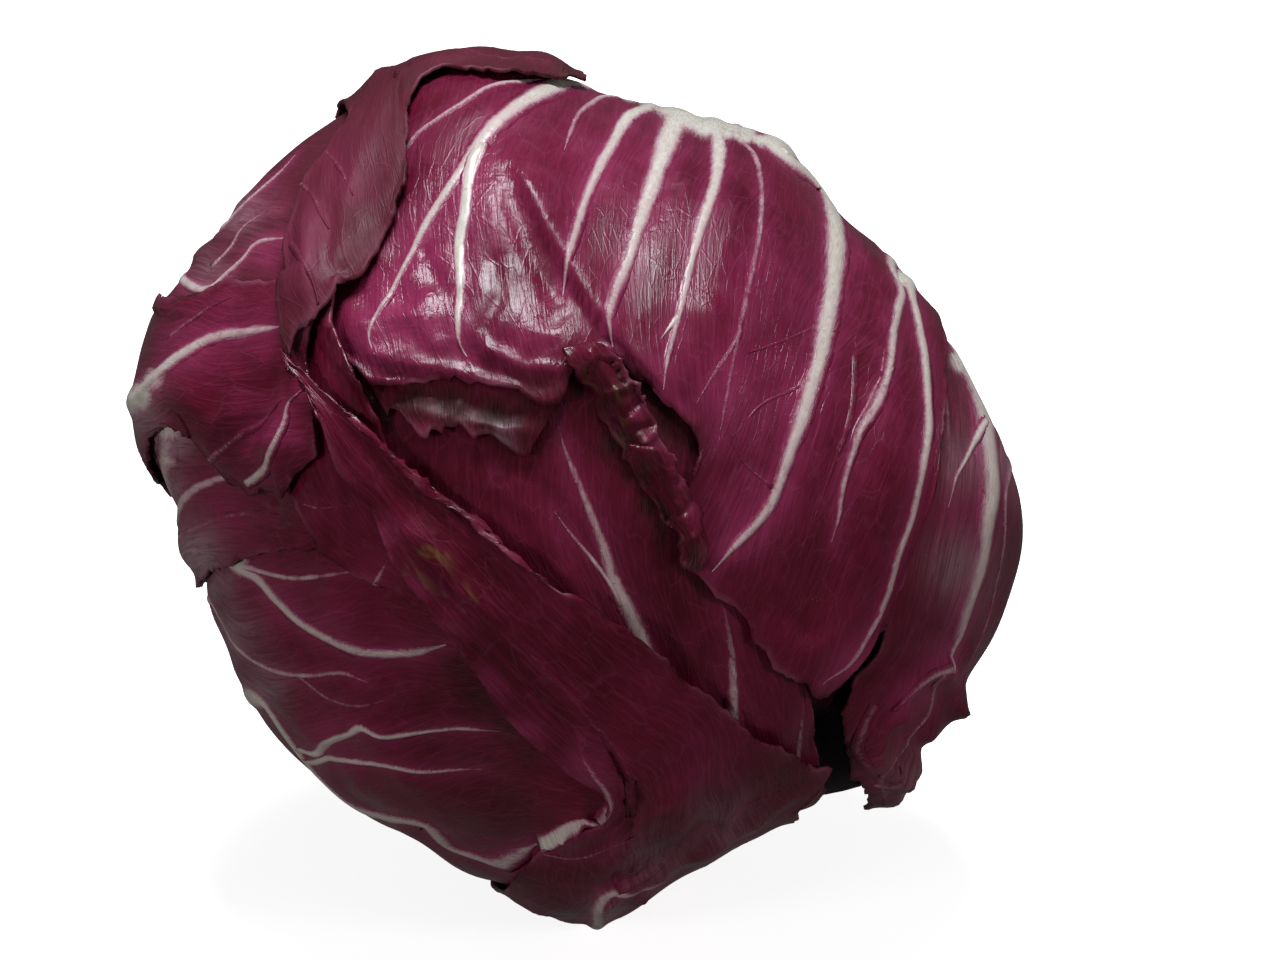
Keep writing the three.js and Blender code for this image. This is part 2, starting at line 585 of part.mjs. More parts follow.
// The tightly wrapped inner leaves: one body, with the edges of its leaves in relief
// as spiral steps, this many round the axis and this deep.
const HEART_EDGES = 3;
const HEART_TWIST = 1.2;
const HEART_STEP = 0.9;
const HEART_GAP = 0.4;

function heartGeometry() {
  const ball = new THREE.IcosahedronGeometry(1, 10);
  ball.deleteAttribute('normal');
  ball.deleteAttribute('uv');
  const flat = ball.getAttribute('position');
  const index = new Map();
  const points = [];
  const faces = [];
  for (let n = 0; n < flat.count; n += 1) {
    const dir = new THREE.Vector3().fromBufferAttribute(flat, n).normalize();
    const key = dir.toArray().map((value) => value.toFixed(5)).join();
    if (!index.has(key)) {
      index.set(key, points.length);
      const turn = Math.atan2(dir.dot(UP), dir.dot(ACROSS));
      const dip = Math.acos(clamp(dir.dot(CROWN), -1, 1));
      const wound = (turn / (2 * Math.PI)) * HEART_EDGES + dip * HEART_TWIST;
      const spiral = (wound + 2 * HEART_EDGES) % 1;
      const radius = bodyRadius(dir) - HEART_GAP - HEART_STEP * spiral;
      points.push(dir.multiplyScalar(radius));
    }
    const id = index.get(key);
    if (n % 3 === 0) faces.push([id]);
    else faces[faces.length - 1].push(id);
  }
  return solidGeometry(points, faces);
}

// The cut butt: a short trunk with a flat cut face, set in the ring of leaf bases.
// The profile is [radius, height above the heart's butt end].
const BUTT_PROFILE = [
  [0, 1.4], [11.5, 1], [13.2, 3], [12.4, 7], [11.4, 9.4], [10.6, 10], [0, 10],
];
const BUTT_SIDES = 20;

function buttGeometry() {
  const profile = BUTT_PROFILE.map(([r, h]) => new THREE.Vector2(r, BUTT_DEPTH + h));
  const geometry = new THREE.LatheGeometry(profile, BUTT_SIDES);
  const toButt = new THREE.Quaternion().setFromUnitVectors(
    new THREE.Vector3(0, 1, 0), CROWN.clone().negate());
  return geometry.applyQuaternion(toButt);
}

// ---- the part ----------------------------------------------------------------

const FINISH = {
  leaf: new THREE.MeshStandardMaterial({ color: 0x6e1e3c, roughness: 0.42, metalness: 0 }),
  heart: new THREE.MeshStandardMaterial({ color: 0x571530, roughness: 0.5, metalness: 0 }),
  butt: new THREE.MeshStandardMaterial({ color: 0xd8cdb4, roughness: 0.6, metalness: 0 }),
};

function mesh(name, geometry, material) {
  const made = new THREE.Mesh(geometry, material);
  made.name = name;
  made.position.copy(CENTRE);
  return made;
}

const radicchio = new THREE.Group();
radicchio.add(mesh('heart', heartGeometry(), FINISH.heart));
radicchio.add(mesh('stem_butt', buttGeometry(), FINISH.butt));
for (const leaf of LEAVES) radicchio.add(mesh(leaf.name, layLeaf(leaf), FINISH.leaf));

export default radicchio;
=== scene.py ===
"""A head of round red chicory: fine leaves with ribs, heart and butt over the solid ones.

Tables are in millimetres and degrees; meshes are in metres, +Z up. A place on the head
is written in one of two ways:
    (x, y)        mm across and up from the head's axis, seen straight at the crown
    back(t, d)    t degrees round the axis from +X, d degrees from the crown
A bare number at the start of a line is the turn at which it comes up behind the head.
"""

import math

import bmesh
import bpy
import numpy as np
from bpy.props import FloatProperty, FloatVectorProperty, PointerProperty
from mathutils import Matrix, Vector


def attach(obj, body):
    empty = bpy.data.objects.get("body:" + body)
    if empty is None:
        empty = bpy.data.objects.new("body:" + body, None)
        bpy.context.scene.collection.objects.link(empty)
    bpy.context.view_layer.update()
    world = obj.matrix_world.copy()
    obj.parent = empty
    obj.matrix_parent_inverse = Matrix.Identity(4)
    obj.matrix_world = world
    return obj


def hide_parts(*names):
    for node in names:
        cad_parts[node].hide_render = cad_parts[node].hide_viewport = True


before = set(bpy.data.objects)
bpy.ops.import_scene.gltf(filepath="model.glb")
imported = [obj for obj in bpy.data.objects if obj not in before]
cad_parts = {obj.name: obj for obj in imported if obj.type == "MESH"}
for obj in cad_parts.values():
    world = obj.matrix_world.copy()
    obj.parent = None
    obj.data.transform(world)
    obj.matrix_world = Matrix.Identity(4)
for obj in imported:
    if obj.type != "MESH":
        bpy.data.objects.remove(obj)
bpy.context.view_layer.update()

bl_info = {
    "name": "Radicchio Head",
    "version": (1, 0, 0),
    "blender": (4, 5, 0),
    "location": "View3D > Sidebar > Radicchio",
    "description": "Wrapped leaves with raised ribs, a heart and a cut butt",
    "category": "Add Mesh",
}

MM = 0.001

# ---- the head: the same driving sizes as the solids, mm ----------------------

CROWN_LIFT = math.radians(25)     # how far upwards the crown looks
REST_DROP = 63.5       # height of the head's middle over the floor
CENTRE = np.array([0.35, 1.81, REST_DROP])
CROWN_DEPTH = 55.0     # from the middle to the front of the bare heart
BUTT_DEPTH = 52.0      # and to its back
REST_STACK = 3.2       # thickness of the leaves that it rests on
# Radius of the bare heart every 15 degrees round the axis.
GIRTH = np.array([
    62.5, 58, 52.5, 52.5, 56, 54.7, 54.8, 62, 64, 63.5, 63.6, 64,
    54.4, 48.6, 54.5, 55.6, 54.6, 49.6, 59.6, 49.6, 50.2, 61, 61.8, 64,
])

ACROSS = np.array([1.0, 0.0, 0.0])
UP = np.array([0.0, math.sin(CROWN_LIFT), math.cos(CROWN_LIFT)])
CROWN = np.array([0.0, -math.cos(CROWN_LIFT), math.sin(CROWN_LIFT)])

# ---- how the fine leaves are laid, mm ----------------------------------------

# The fine heart stands this much fuller than the solid one, every 15 degrees at the girth.
SWELL = np.array([
    1.9, 1.2, 3.6, 2.8, 2.6, 2.4, 3.9, 3.9, 0.8, 1.4, 2.0, 3.3,
    2.8, 4.6, 2.8, 1.8, 3.0, 4.8, 4.8, 9.0, 5.2, 2.5, 1.8, 1.4,
])
SWELL_FRONT = 2.1      # and this much at the crown
# Hollows in the heart where the leaves gape: (x, y, half width, depth).
HOLLOWS = [(43, -30, 5, 5.0), (39, -39, 5, 6.0), (14, 9, 4, 3.0), (-40, -1, 3.5, 2.0)]
BLADE = 0.55           # leaf thickness
LAY_GAP = 0.3          # gap from leaf to leaf
BACK_GRAIN = 2.2       # distance between the points of a blade behind the girth
MARGIN_DEPTH = 2.2     # how far into a blade the teeth of its margin pull
STEP_REACH = 5         # how far a step in a blade carries to either side
CLING_REACH = 3.5      # how far in from its margin a blade sinks on to what lies below
LIP_REACH = 1.5        # width of the margin that turns up
PILLOW = 0.25          # rise of a blade between its ribs
PILLOW_REACH = 3.0     # distance from a rib over which it rises
MEAN_RADIUS = 62       # turns an angle at the middle into a distance on the head
LEAST_DOWN = 0.2       # only directions steeper than this reach for the floor
REST_BLEND = 1.5       # rounding between the flat spot and the body
FINE_STEPS = 24        # points worked out for each knot of a curve
WAVES = 9              # plane waves summed into smooth noise
TEETH = 400            # different teeth along a margin before they repeat
CELL = math.radians(0.8)         # the skin's map: size of a cell,
HALF = int(math.pi / CELL) + 4   # cells from its centre to its side,
WIDE = 2 * HALF + 1              # and cells across it


def back(turn, dip=166):
    """A place given by its turn round the axis and its dip from the crown, degrees."""
    return ("back", turn, dip)


# ---- small maths -------------------------------------------------------------

def unit(v):
    return v / np.linalg.norm(v, axis=-1, keepdims=True)


def ease(a, b, x):
    t = np.clip((x - a) / (b - a), 0.0, 1.0)
    return t * t * (3 - 2 * t)


def across_up(dirs, r):
    """Mm across and up from the head's axis, as the tables give them."""
    return (dirs @ ACROSS) * r, (dirs @ UP) * r


def in_front(dirs):
    """1 on the side that the tables draw, fading to 0 behind the girth."""
    return ease(-0.35, -0.1, dirs @ CROWN)


def apart(x, y, at_x, at_y, reach):
    """Squared distance from a spot, in units of its reach."""
    return ((x - at_x) ** 2 + (y - at_y) ** 2) / reach ** 2


def girth(turn, sizes=GIRTH):
    """Radius of the bare heart round the axis, by a closed cubic through GIRTH."""
    n = len(sizes)
    at = np.mod(turn / (2 * math.pi), 1.0) * n
    k = np.floor(at).astype(int)
    t = at - k
    a, b, c, d = (sizes[(k + i) % n] for i in (-1, 0, 1, 2))
    return b + 0.5 * t * (c - a + t * (2 * a - 5 * b + 4 * c - d + t * (3 * (b - c) + d - a)))


def direction(turn, dip):
    turn, dip = np.asarray(turn)[..., None], np.asarray(dip)[..., None]
    return (np.sin(dip) * np.cos(turn) * ACROSS + np.sin(dip) * np.sin(turn) * UP
            + np.cos(dip) * CROWN)


def body_radius(dirs):
    """Distance from the middle to the bare heart, pressed flat where it rests."""
    x, y, z = dirs @ ACROSS, dirs @ UP, dirs @ CROWN
    side = girth(np.arctan2(y, x))
    depth = np.where(z > 0, CROWN_DEPTH, BUTT_DEPTH)
    round_ = 1 / np.sqrt((x * x + y * y) / side ** 2 + (z / depth) ** 2)
    down = np.maximum(-dirs[..., 2], LEAST_DOWN)
    pressed = (REST_DROP - REST_STACK) / down
    t = np.clip(0.5 + 0.5 * (pressed - round_) / REST_BLEND, 0, 1)
    soft = pressed + (round_ - pressed) * t - REST_BLEND * t * (1 - t)
    return np.where(dirs[..., 2] > -LEAST_DOWN, round_, soft)


def heart_radius(dirs):
    """Distance from the middle to the fine heart, hollows included."""
    x, y, z = dirs @ ACROSS, dirs @ UP, dirs @ CROWN
    wide = x * x + y * y
    r = body_radius(dirs) + SWELL_FRONT + (girth(np.arctan2(y, x), SWELL) - SWELL_FRONT) * wide
    for hx, hy, reach, depth in HOLLOWS:
        far = apart(x * r, y * r, hx, hy, reach)
        r = r - np.where(z > -0.3, depth * np.exp(-far), 0)
    return r


def place(at, level):
    """Direction of a written place, for a surface `level` mm above the bare heart."""
    if at[0] == "back":
        return direction(math.radians(at[1]), math.radians(at[2]))
    turn = math.atan2(at[1], at[0])
    side = float(girth(np.array(turn))) + level
    out = math.hypot(at[0], at[1])
    tau = math.asin(out / side) if out < side else math.pi / 2 + (out - side) / side
    depth = (CROWN_DEPTH if tau < math.pi / 2 else BUTT_DEPTH) + level
    return direction(turn, math.atan2(side * math.sin(tau), depth * math.cos(tau)))


def smooth_line(knots, fractions):
    """Points on a smooth curve through the knots, at fractions of its length."""
    knots = np.asarray(knots, dtype=float)
    gaps = np.maximum(np.linalg.norm(np.diff(knots, axis=0), axis=1), 1e-6) ** 0.5
    when = np.concatenate([[0], np.cumsum(gaps)])
    slopes = np.gradient(knots, when, axis=0)
    fine = np.linspace(0, when[-1], FINE_STEPS * len(knots))
    k = np.clip(np.searchsorted(when, fine, side="right") - 1, 0, len(gaps) - 1)
    h = (when[k + 1] - when[k])[:, None]
    t = ((fine - when[k])[:, None]) / h
    curve = ((2 * t ** 3 - 3 * t ** 2 + 1) * knots[k] + (t ** 3 - 2 * t ** 2 + t) * h * slopes[k]
             + (3 * t ** 2 - 2 * t ** 3) * knots[k + 1] + (t ** 3 - t ** 2) * h * slopes[k + 1])
    length = np.concatenate([[0], np.cumsum(np.linalg.norm(np.diff(curve, axis=0), axis=1))])
    at = np.asarray(fractions) * length[-1]
    return np.stack([np.interp(at, length, curve[:, a]) for a in range(curve.shape[1])], axis=1)


def wander(dirs, scale, seed):
    """Smooth noise on the head, about -1 to 1: a seeded sum of plane waves."""
    rng = np.random.default_rng(seed)
    total = np.zeros(dirs.shape[:-1])
    for _ in range(WAVES):
        wave = unit(rng.normal(size=3)) * scale * rng.uniform(0.6, 1.5)
        total += np.sin(dirs @ wave + rng.uniform(0, 2 * math.pi))
    return total / 3.0


# ---- the skin: how far the outermost surface laid so far stands out ----------

class Skin:
    """Radius for each direction, on a flat map whose distance from its centre is the dip."""

    def __init__(self):
        steps = (np.arange(WIDE) - HALF) * CELL
        gx, gy = np.meshgrid(steps, steps)
        dip = np.minimum(np.hypot(gx, gy), math.pi)
        self.radius = heart_radius(direction(np.arctan2(gy, gx), dip))

    @staticmethod
    def spot(dirs):
        dip = np.arccos(np.clip(dirs @ CROWN, -1, 1))
        turn = np.arctan2(dirs @ UP, dirs @ ACROSS)
        return dip * np.cos(turn) / CELL + HALF, dip * np.sin(turn) / CELL + HALF

    def at(self, dirs):
        gx, gy = self.spot(dirs)
        i, j = np.floor(gy).astype(int), np.floor(gx).astype(int)
        fy, fx = gy - i, gx - j
        r = self.radius
        return ((1 - fy) * ((1 - fx) * r[i, j] + fx * r[i, j + 1])
                + fy * ((1 - fx) * r[i + 1, j] + fx * r[i + 1, j + 1]))

    def top(self, dirs, foot):
        """Highest radius within `foot` cells."""
        gx, gy = self.spot(dirs)
        i, j = np.rint(gy).astype(int), np.rint(gx).astype(int)
        best = self.radius[i, j]
        for di in range(-foot, foot + 1):
            for dj in range(-foot, foot + 1):
                near = self.radius[np.clip(i + di, 0, WIDE - 1), np.clip(j + dj, 0, WIDE - 1)]
                best = np.maximum(best, near)
        return best

    def lay(self, dirs, radius):
        """Raises the skin to a grid of points, filled in three to one."""
        points = dirs * radius[..., None]
        for axis in (0, 1):
            points = np.moveaxis(points, axis, 0)
            between = [points]
            for t in (1 / 3, 2 / 3):
                between.append(points[:-1] * (1 - t) + points[1:] * t)
            points = np.moveaxis(np.concatenate(between, axis=0), 0, axis)
        flat = points.reshape(-1, 3)
        far = np.linalg.norm(flat, axis=1)
        gx, gy = self.spot(flat / far[:, None])
        np.maximum.at(self.radius, (np.rint(gy).astype(int), np.rint(gx).astype(int)), far)


SKIN = Skin()


# ---- laying a leaf -----------------------------------------------------------

def leaf_dirs(leaf):
    """Directions of the blade's points, rows from base to tip, and their lanes in mm."""
    rails = [[place(at, leaf["level"]) for at in full_line(rail)] for rail in leaf["rails"]]
    middle = smooth_line(rails[len(rails) // 2], np.linspace(0, 1, 60))
    length = np.linalg.norm(np.diff(middle, axis=0), axis=1).sum() * MEAN_RADIUS
    behind = leaf.get("behind", 0.0)
    slow = max(2, int(behind * length / BACK_GRAIN))
    fast = int((1 - behind) * length / leaf["grain"])
    rows = np.concatenate([np.linspace(0, behind, slow, endpoint=False),
                           np.linspace(behind, 1, fast)]) if behind else np.linspace(0, 1, fast)
    lines = np.stack([unit(smooth_line(rail, rows)) for rail in rails], axis=1)
    widths = np.linalg.norm(np.diff(lines, axis=1), axis=2).sum(axis=1) * MEAN_RADIUS
    cols = int(widths.max() / leaf["grain"])
    across = np.linspace(0, 1, cols)
    dirs = np.stack([unit(smooth_line(line, across)) for line in lines])
    v = np.concatenate([[0], np.cumsum(np.linalg.norm(np.diff(
        dirs[:, cols // 2], axis=0), axis=1))]) * MEAN_RADIUS
    u = (across[None, :] - 0.5) * widths[:, None]
    return dirs, u, np.repeat(v[:, None], cols, axis=1), widths


def saw(along, pitch, seed):
    """Uneven small teeth along a margin, 0 to 1."""
    rng = np.random.default_rng(seed)
    at = along / pitch + 0.35 * np.sin(along * 0.9 / pitch + seed)
    tooth = np.floor(at).astype(int)
    size = rng.uniform(0.15, 1.0, TEETH)[tooth % TEETH]
    part = at - tooth
    return size * np.minimum(part / 0.75, (1 - part) / 0.25)


def ragged(along, seed):
    """Slow unevenness of a margin, about -1 to 1."""
    rng = np.random.default_rng(seed)
    total = np.zeros_like(along)
    for wave in (5.0, 8.5, 14.0, 23.0):
        total += np.sin(along * 2 * math.pi / wave + rng.uniform(0, 6.3)) * wave ** 0.5
    return total / 6.5


def work_margins(leaf, dirs, u, v, widths):
    """Moves the edge points over the surface into teeth and rags."""
    moved = dirs.copy()
    half = widths[:, None] / 2
    seed = leaf["seed"]
    for edge, size, pitch, rag in leaf.get("margins", ()):
        if edge == "tip":
            out = unit(dirs[-1] - dirs[-5])[None]
            reach = v[-1:] - v
            along = u[-1:] + half[-1]
        else:
            last, near = (-1, -4) if edge == "right" else (0, 3)
            out = unit(dirs[:, last] - dirs[:, near])[:, None]
            reach = half - u if edge == "right" else half + u
            along = v[:, :1]
        fade = np.exp(-(reach / MARGIN_DEPTH) ** 2)
        push = size * (saw(along, pitch, seed) - 0.4) + rag * ragged(along, seed + 7)
        moved = moved + out * (push * fade / MEAN_RADIUS)[..., None]
        seed += 31
    return unit(moved)


def near_line(x, y, line):
    """Distance to a drawn line, and on which side of it: +1 left of its run."""
    best = np.full(x.shape, 1e9)
    side = np.ones(x.shape)
    for (ax, ay), (bx, by) in zip(line[:-1], line[1:]):
        dx, dy = bx - ax, by - ay
        t = np.clip(((x - ax) * dx + (y - ay) * dy) / (dx * dx + dy * dy), 0, 1)
        far = np.hypot(x - ax - t * dx, y - ay - t * dy)
        closer = far < best
        side = np.where(closer, np.sign(dx * (y - ay) - dy * (x - ax)), side)
        best = np.minimum(best, far)
    return best, side


def own_form(leaf, dirs, r):
    """What the leaf does by itself: bumps, folds, steps, crumples and waves, mm."""
    x, y = across_up(dirs, r)
    front = in_front(dirs)
    lift = np.zeros_like(r)
    for bx, by, reach, rise in leaf.get("bumps", ()):
        lift += rise * np.exp(-apart(x, y, bx, by, reach)) * front
    for reach, rise, line in leaf.get("folds", ()):
        lift += rise * np.exp(-(near_line(x, y, line)[0] / reach) ** 2) * front
    for soft, rise, line in leaf.get("steps", ()):
        far, side = near_line(x, y, line)
        fade = np.exp(-(far / STEP_REACH) ** 2)
        lift += rise * (0.5 + 0.5 * np.tanh(side * far / soft)) * fade * front
    for bx, by, reach, rise, scale in leaf.get("crumples", ()):
        mask = np.exp(-apart(x, y, bx, by, reach)) * front
        lift += rise * mask * (1 - np.abs(wander(dirs, scale, leaf["seed"] + 5)) * 1.6)
    waves = wander(dirs, 9, leaf["seed"]) + 0.5 * wander(dirs, 22, leaf["seed"] + 1)
    lift += leaf["wave"] * waves
    return lift


def rib_line(at_places, leaf, dirs, r):
    """Directions along a rib, one every mm, its knots at the height of the blade there."""
    knots = []
    flat_dirs, flat_r = dirs.reshape(-1, 3), r.reshape(-1)
    for at in at_places:
        spot = place(at, leaf["level"])
        if at[0] != "back":
            for _ in range(2):
                near = int(np.argmax(flat_dirs @ spot))
                spot = place(at, float(flat_r[near] - body_radius(spot)))
        knots.append(spot)
    length = np.linalg.norm(np.diff(np.array(knots), axis=0), axis=1).sum() * MEAN_RADIUS
    count = max(6, int(length))
    return unit(smooth_line(knots, np.linspace(0, 1, count)))


def rib_width(wide_base, wide_tip, part):
    """Full width over the first part of a rib, then narrowing to its tip."""
    return wide_tip + (wide_base - wide_tip) * np.minimum(1, (1 - part) / 0.62)


def keep_above_floor(dirs, r, leaf):
    """Presses a leaf flat where the head rests; only the lowest leaf touches."""
    room = REST_DROP - (0 if leaf.get("rests") else LAY_GAP + BLADE)
    pressed = np.minimum(r, room / np.maximum(-dirs[..., 2], LEAST_DOWN))
    return np.where(dirs[..., 2] < -0.5, pressed, r)


def lay_leaf(leaf):
    """The blade's outer radius over its directions, with its ribs' lines."""
    dirs, u, v, widths = leaf_dirs(leaf)
    dirs = work_margins(leaf, dirs, u, v, widths)
    floor = SKIN.top(dirs, 1) + LAY_GAP + BLADE
    r = floor.copy()
    for _ in range(leaf.get("easing", 90)):
        padded = np.pad(r, 1, mode="edge")
        mean = (padded[:-2, 1:-1] + padded[2:, 1:-1] + padded[1:-1, :-2] + padded[1:-1, 2:]) / 4
        r = np.maximum(floor, mean)
    r = r + own_form(leaf, dirs, r)
    half = widths[:, None] / 2
    edge = np.minimum(np.minimum(half - u, half + u), v[-1:] - v)
    x, y = across_up(dirs, r)
    pinned = mask_of(leaf.get("pinned", ()), x, y, ease(-0.6, -0.3, dirs @ CROWN))
    cling = np.maximum(leaf.get("cling", 0.5), pinned) * np.exp(-(edge / CLING_REACH) ** 2)
    r = r + (floor - r) * cling
    lip = leaf.get("lip", 0.35)
    r = r + lip * np.exp(-(edge / LIP_REACH) ** 2) * (0.6 + 0.6 * wander(dirs, 45, leaf["seed"] + 3))

    lines = []
    halo = np.zeros_like(r)
    nearest = np.full(r.shape, 99.0)
    flat = dirs.reshape(-1, 3)
    for wide_base, wide_tip, white, places in leaf.get("ribs", ()):
        line = rib_line(full_line(places), leaf, dirs, r)
        cosine = flat @ line.T
        hit = np.argmax(cosine, axis=1)
        far = np.sqrt(np.maximum(2 - 2 * cosine[np.arange(len(flat)), hit], 0)) * MEAN_RADIUS
        part = hit / (len(line) - 1)
        width = rib_width(wide_base, wide_tip, part)
        beyond = np.maximum(far - width / 2, 0).reshape(r.shape)
        reach = (0.9 + 0.7 * width).reshape(r.shape)
        halo = np.maximum(halo, white * np.exp(-(beyond / reach)))
        nearest = np.minimum(nearest, beyond)
        lines.append((line, wide_base, wide_tip, white))
    r = r + PILLOW * (1 - np.exp(-(nearest / PILLOW_REACH) ** 2))
    r = keep_above_floor(dirs, np.maximum(r, floor - 0.05), leaf)
    SKIN.lay(dirs, r)
    return dirs, r, u, v, edge, halo, lines


# A rib's section: places across it in half widths, and its height and whiteness there.
RIB_ACROSS = np.array([-1.75, -1.25, -0.8, -0.4, 0.0, 0.4, 0.8, 1.25, 1.75])
RIB_HEIGHT = np.array([0.0, 0.22, 0.62, 0.92, 1.0, 0.92, 0.62, 0.22, 0.0])
RIB_WHITE = np.array([0.0, 0.26, 0.66, 0.95, 1.0, 0.95, 0.66, 0.26, 0.0])
RIB_SINK = 0.12        # how far its sides go into the blade, mm
RIB_FULL = 1.25        # its width in relief against its written width
RIB_TAPER = 6.0        # length of its thinning tip, mm
RIB_START = 4.0        # length over which it rises at its base, mm


def rib_strip(line, wide_base, wide_tip, white, seed, leaf):
    """A low raised strip over the skin along a rib's line."""
    n = len(line)
    part = np.linspace(0, 1, n)
    rng = np.random.default_rng(seed)
    uneven = 1 + 0.06 * np.sin(part * n * 0.35 + rng.uniform(0, 6)) \
        + 0.03 * np.sin(part * n * 0.9 + rng.uniform(0, 6))
    width = rib_width(wide_base, wide_tip, part) * uneven * RIB_FULL
    taper = ease(0, RIB_TAPER / n, 1 - part)
    width = width * (0.25 + 0.75 * taper)
    run = unit(np.gradient(line, axis=0))
    side = unit(np.cross(run, line))
    offset = RIB_ACROSS[None, :] * width[:, None] / 2
    dirs = unit(line[:, None] + side[:, None] * offset[..., None] / MEAN_RADIUS)
    start = ease(0, RIB_START / n, part + 0.5 / n)
    rise = (0.06 + 0.11 * width) * (0.3 + 0.7 * taper) * start * (0.25 + 0.75 * white)
    height = RIB_HEIGHT[None, :] * (rise[:, None] + RIB_SINK) - RIB_SINK
    return dirs, keep_above_floor(dirs, SKIN.at(dirs) + height, leaf), part


# ---- meshes ------------------------------------------------------------------

# Values carried by the vertices, from 0 to 1, that the materials read.
FLOATS = ("rib", "halo", "glow", "edge", "pale", "wilt_and_shade", "olive")


def add_patch(bm, points, values, lanes):
    """A grid of faces through an array of points, with its values on the vertices."""
    rows, cols = points.shape[:2]
    mid_i, mid_j = rows // 2, cols // 2
    a = points[mid_i, mid_j]
    right = points[mid_i, mid_j + 1] - a if mid_j + 1 < cols else a - points[mid_i, mid_j - 1]
    onward = points[mid_i + 1, mid_j] - a if mid_i + 1 < rows else a - points[mid_i - 1, mid_j]
    turned = np.dot(np.cross(right, onward), a) < 0
    made = bmesh.ops.create_grid(bm, x_segments=cols - 1, y_segments=rows - 1, size=1.0)["verts"]
    layers = {name: bm.verts.layers.float[name] for name in FLOATS}
    lane = bm.verts.layers.float_vector["lane"]
    for vert in made:
        j = round((vert.co.x + 1) / 2 * (cols - 1))
        i = round((vert.co.y + 1) / 2 * (rows - 1))
        if turned:
            j = cols - 1 - j
        vert.co = Vector((points[i, j] + CENTRE) * MM)
        vert[lane] = lanes[i, j]
        for name, layer in layers.items():
            if name in values:
                vert[layer] = values[name][i, j]


def new_bmesh():
    bm = bmesh.new()
    for name in FLOATS:
        bm.verts.layers.float.new(name)
    bm.verts.layers.float_vector.new("lane")
    return bm


def finish_mesh(bm, name, material, thickness=0.0):
    mesh = bpy.data.meshes.new(name)
    bm.to_mesh(mesh)
    bm.free()
    mesh.shade_smooth()
    mesh.materials.append(material)
    piece = bpy.data.objects.new(name, mesh)
    bpy.context.scene.collection.objects.link(piece)
    if thickness:
        shell = piece.modifiers.new("blade", "SOLIDIFY")
        shell.thickness = thickness * MM
        shell.offset = -1
    return piece


def mask_of(spots, x, y, front, sharp=1):
    """Soft round patches given as (x, y, reach, strength)."""
    total = np.zeros_like(x)
    for bx, by, reach, strength in spots:
        total = np.maximum(total, strength * np.exp(-apart(x, y, bx, by, reach) ** sharp))
    return total * front


def add_leaf(bm, leaf):
    """Lays one blade with its ribs and adds it to the mesh."""
    dirs, r, u, v, edge, halo, lines = lay_leaf(leaf)
    x, y = across_up(dirs, r)
    front = in_front(dirs)
    dip = np.degrees(np.arccos(np.clip(dirs @ CROWN, -1, 1)))
    values = {
        "halo": halo,
        "edge": np.exp(-(edge / 0.5)),
        "rib": mask_of(leaf.get("white", ()), x, y, ease(-0.3, 0.05, dirs @ CROWN), 1.4),
        "glow": mask_of(leaf.get("glow", ()), x, y, front),
        "pale": np.maximum(mask_of(leaf.get("pale", ()), x, y, front), ease(124, 160, dip) * 0.9),
        "wilt_and_shade": mask_of(leaf.get("wilt_and_shade", ()), x, y, front),
        "olive": mask_of(leaf.get("olive", ()), x, y, front),
    }
    lanes = np.stack([u, v, np.zeros_like(u)], axis=-1)
    add_patch(bm, dirs * r[..., None], values, lanes)
    for n, (line, wide_base, wide_tip, white) in enumerate(lines):
        rib_dirs, rib_r, part = rib_strip(line, wide_base, wide_tip, white,
                                          leaf["seed"] * 50 + n, leaf)
        nearest = np.argmax(dirs.reshape(-1, 3) @ rib_dirs.reshape(-1, 3).T, axis=0)
        shape = rib_r.shape
        under = {name: value.reshape(-1)[nearest].reshape(shape) for name, value in values.items()}
        fade = 1 - 0.5 * part[:, None] ** 2
        under["rib"] = np.maximum(under["rib"], RIB_WHITE[None, :] * white * fade)
        under["edge"] = under["edge"] * 0.3
        lane = lanes.reshape(-1, 3)[nearest].reshape(shape + (3,))
        add_patch(bm, rib_dirs * rib_r[..., None], under, lane)
        SKIN.lay(rib_dirs, rib_r)


def make_leaves(material, drying):
    """Lays every blade in order; blades of one leaf share its mesh."""
    meshes = {}
    for blade, name in BLADES:
        meshes.setdefault(name, new_bmesh())
        add_leaf(meshes[name], blade)
    return {name: finish_mesh(bm, "fine_" + name, drying if name in DRYING else material, BLADE)
            for name, bm in meshes.items()}


# ---- the leaves, from the heart outwards -------------------------------------
# level    height of the blade over the bare heart, by which its places are read
# seed     start of its random draws
# behind   part of its length that lies behind the head, where its points are wider apart
# grain    distance between its points in front
# easing   rounds of smoothing, by which it bridges hollows below
# wave     unevenness of its surface
# cling    how far its margins sink on to what lies below, 0 to 1
# lip      height to which its very edge turns up
# rests    whether it is the one that touches the floor
# rails    lines from base to tip, in order across the blade
# ribs     (width at base, width at tip, whiteness, line from base to tip)
# steps    (softness, rise on the left of the line's run, line)
# folds    (half width, rise, line)
# bumps    (x, y, half width, rise)
# crumples (x, y, half width, rise, fineness)
# margins  (edge, tooth size, tooth distance, raggedness)
# pinned   (x, y, reach, strength): spots where a margin lies close to what is below
# white, glow, pale, wilt, olive: (x, y, reach, strength) of a tint; glow is magenta with painted highlight,
# wilt drying brown with painted shade, pale greyish pink with painted sheen on the right leaf

def full_line(line):
    """The places of a line; a bare turn at its start runs up behind the head from the butt."""
    if isinstance(line[0], tuple):
        return line
    return [back(line[0], dip) for dip in (165, 135, 110)] + line[1:]


def fan(turns, dips, width):
    """Plain ribs that spread from the butt on a leaf which lies wholly behind."""
    return [(width * (1.4 if n % 2 else 0.8), 0.7, 0.9, [back(turn, dip) for dip in dips])
            for n, turn in enumerate(turns)]


